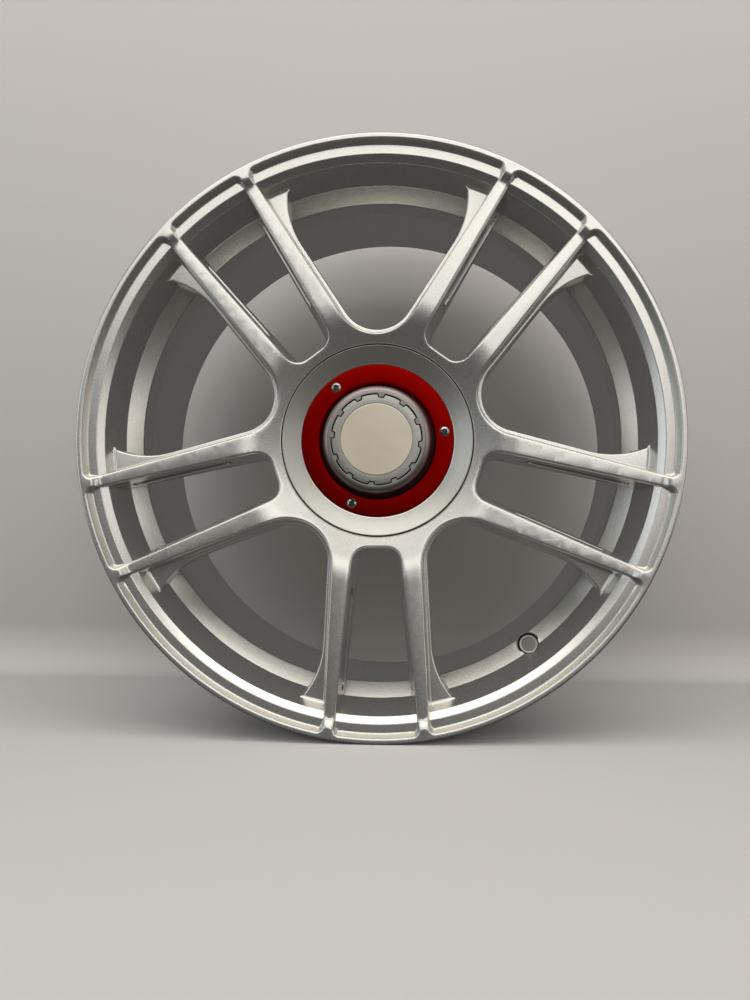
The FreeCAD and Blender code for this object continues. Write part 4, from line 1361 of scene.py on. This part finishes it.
# %% floor and wall as one sweep
floor_z = cad_box[0][2]
SWEEP_FRONT, SWEEP_BACK, SWEEP_ROUND, SWEEP_TOP, SWEEP_HALF = -1.6, 0.205, 0.05, 1.5, 1.8
FLOOR_SEEN, WALL_SEEN = (0.74, 0.72, 0.70), (0.58, 0.555, 0.53)
FLOOR_FELT = (0.05, 0.05, 0.05)
turn = np.radians(np.linspace(0.0, 90.0, 13))
profile = np.concatenate([
    [[SWEEP_FRONT, 0.0]],
    np.column_stack([
        SWEEP_BACK - SWEEP_ROUND + SWEEP_ROUND * np.sin(turn),
        SWEEP_ROUND - SWEEP_ROUND * np.cos(turn),
    ]),
    [[SWEEP_BACK, SWEEP_TOP]],
])
across = np.array([-SWEEP_HALF, SWEEP_HALF])
sweep_points = np.stack([
    np.broadcast_to(across, (len(profile), 2)),
    np.broadcast_to(profile[:, :1], (len(profile), 2)),
    np.broadcast_to(profile[:, 1:] + floor_z, (len(profile), 2)),
], axis=-1).reshape(-1, 3)
sweep = make_object("studio_sweep", sweep_points, grid_faces(len(profile), 2, False))
sweep.data.shade_smooth()


def arithmetic(tree, first, second, operation="MULTIPLY"):
    """Socket with the product of two values or sockets, or with the result of another operation."""
    node = add(tree, "ShaderNodeMath", {"operation": operation})
    for socket, value in zip(node.inputs, (first, second)):
        if isinstance(value, float):
            socket.default_value = value
        else:
            tree.links.new(value, socket)
    return node.outputs["Value"]


def plaster_material():
    """Pale to the camera and dark to other rays. The wall is see-through to those, and from behind."""
    material = bpy.data.materials.new("plaster")
    material.use_nodes = True
    tree = material.node_tree
    link = tree.links.new
    shader = tree.nodes["Principled BSDF"]
    shader.inputs["Roughness"].default_value = 0.7
    on_wall = rising(tree, "Z", floor_z, floor_z + SWEEP_ROUND / 2)
    camera_ray = add(tree, "ShaderNodeLightPath").outputs["Is Camera Ray"]
    seen = blend(tree, on_wall, FLOOR_SEEN, WALL_SEEN)
    link(blend(tree, camera_ray, FLOOR_FELT, seen), shader.inputs["Base Color"])
    reverse = add(tree, "ShaderNodeNewGeometry").outputs["Backfacing"]
    shown = arithmetic(tree, camera_ray, arithmetic(tree, 1.0, reverse, "SUBTRACT"))
    see_through = arithmetic(tree, on_wall, arithmetic(tree, 1.0, shown, "SUBTRACT"))
    mix = add(tree, "ShaderNodeMixShader")
    link(see_through, mix.inputs["Fac"])
    link(shader.outputs["BSDF"], mix.inputs[1])
    link(add(tree, "ShaderNodeBsdfTransparent").outputs["BSDF"], mix.inputs[2])
    link(mix.outputs["Shader"], tree.nodes["Material Output"].inputs["Surface"])
    return material


wear(sweep, plaster_material())
print("floor at", round(floor_z, 4))


# %% [markdown]
# Wide softboxes hang above and in front of the wheel, so faces that look up or forward are bright and those
# that look down are dark. Weaker ones at the sides draw the edges. The world adds a faint glow from behind,
# which fills the barrel, and looks pale to the camera alone.

# %% lights and world
def softbox(name, place, target, size, power, colour):
    """A rectangular area lamp at a place, aimed at a target."""
    lamp = bpy.data.lights.new(name, "AREA")
    lamp.shape = "RECTANGLE"
    lamp.size, lamp.size_y = size
    lamp.energy = power
    lamp.color = colour
    thing = bpy.data.objects.new(name, lamp)
    thing.location = place
    thing.rotation_euler = (Vector(target) - Vector(place)).to_track_quat("-Z", "Y").to_euler()
    thing.visible_camera = False
    bpy.context.scene.collection.objects.link(thing)


softbox("ceiling", (0.0, -0.45, 1.25), (0.0, -0.1, 0.0), (2.6, 0.6), 12.2, (1.0, 0.97, 0.93))
softbox("upper", (0.0, -1.3, 1.45), (0.0, 0.0, 0.0), (3.0, 0.8), 11.0, (1.0, 0.97, 0.93))
softbox("front", (0.0, -2.2, 0.87), (0.0, 0.0, 0.0), (2.6, 0.7), 10.2, (1.0, 0.98, 0.95))
softbox("left", (-1.4, -0.75, 0.25), (0.0, 0.0, 0.0), (1.0, 1.1), 4.5, (0.90, 0.96, 1.0))
softbox("right", (1.4, -0.75, 0.25), (0.0, 0.0, 0.0), (1.0, 1.1), 4.5, (1.0, 0.97, 0.94))
softbox("window", (0.45, -2.2, 0.22), (0.0, 0.0, 0.0), (0.9, 0.7), 2.5, (1.0, 0.98, 0.96))
softbox("fill", (-0.6, -2.2, 0.1), (0.0, 0.0, 0.0), (1.2, 0.7), 0.5, (0.96, 0.98, 1.0))
SKY_SEEN = 0.5
world = bpy.data.worlds.new("studio")
bpy.context.scene.world = world
world.use_nodes = True
tree = world.node_tree
sky = tree.nodes["Background"]
sky.inputs["Color"].default_value = (1.0, 0.98, 0.96, 1.0)
overhead = rising(tree, "Z", -0.15, 0.6, "Generated", start=0.002, end=0.015)
rear = rising(tree, "Y", 0.1, 0.7, "Generated", end=0.11)
camera_ray = add(tree, "ShaderNodeLightPath").outputs["Is Camera Ray"]
light = arithmetic(tree, overhead, rear, "ADD")
seen = arithmetic(tree, camera_ray, SKY_SEEN)
tree.links.new(arithmetic(tree, light, seen, "MAXIMUM"), sky.inputs["Strength"])
print("lamps:", len(bpy.data.lights))

# %% [markdown]
# ## Camera
# The lens and the place come from the photograph: the lip's circle, the hub and the rear rim give the
# distance, and the ring's offset from them gives the small turn to the side.

# %% camera
CAMERA_PLACE, CAMERA_TURN = (0.0340, -0.7131, -0.0473), 0.054
FOCAL_PIXELS, WIDTH_PIXELS, SENSOR_WIDTH = 833.0, 750.0, 36.0
camera_data = bpy.data.cameras.new("camera")
camera_data.sensor_fit = "HORIZONTAL"
camera_data.sensor_width = SENSOR_WIDTH
camera_data.lens = SENSOR_WIDTH * FOCAL_PIXELS / WIDTH_PIXELS
camera = bpy.data.objects.new("camera", camera_data)
upright = Matrix.Rotation(math.pi / 2, 4, "X")
camera.matrix_world = Matrix.Translation(CAMERA_PLACE) @ Matrix.Rotation(CAMERA_TURN, 4, "Z") @ upright
bpy.context.scene.collection.objects.link(camera)
bpy.context.scene.camera = camera
bpy.context.scene.view_settings.view_transform = "Standard"
print("lens", round(camera_data.lens, 2), "mm")
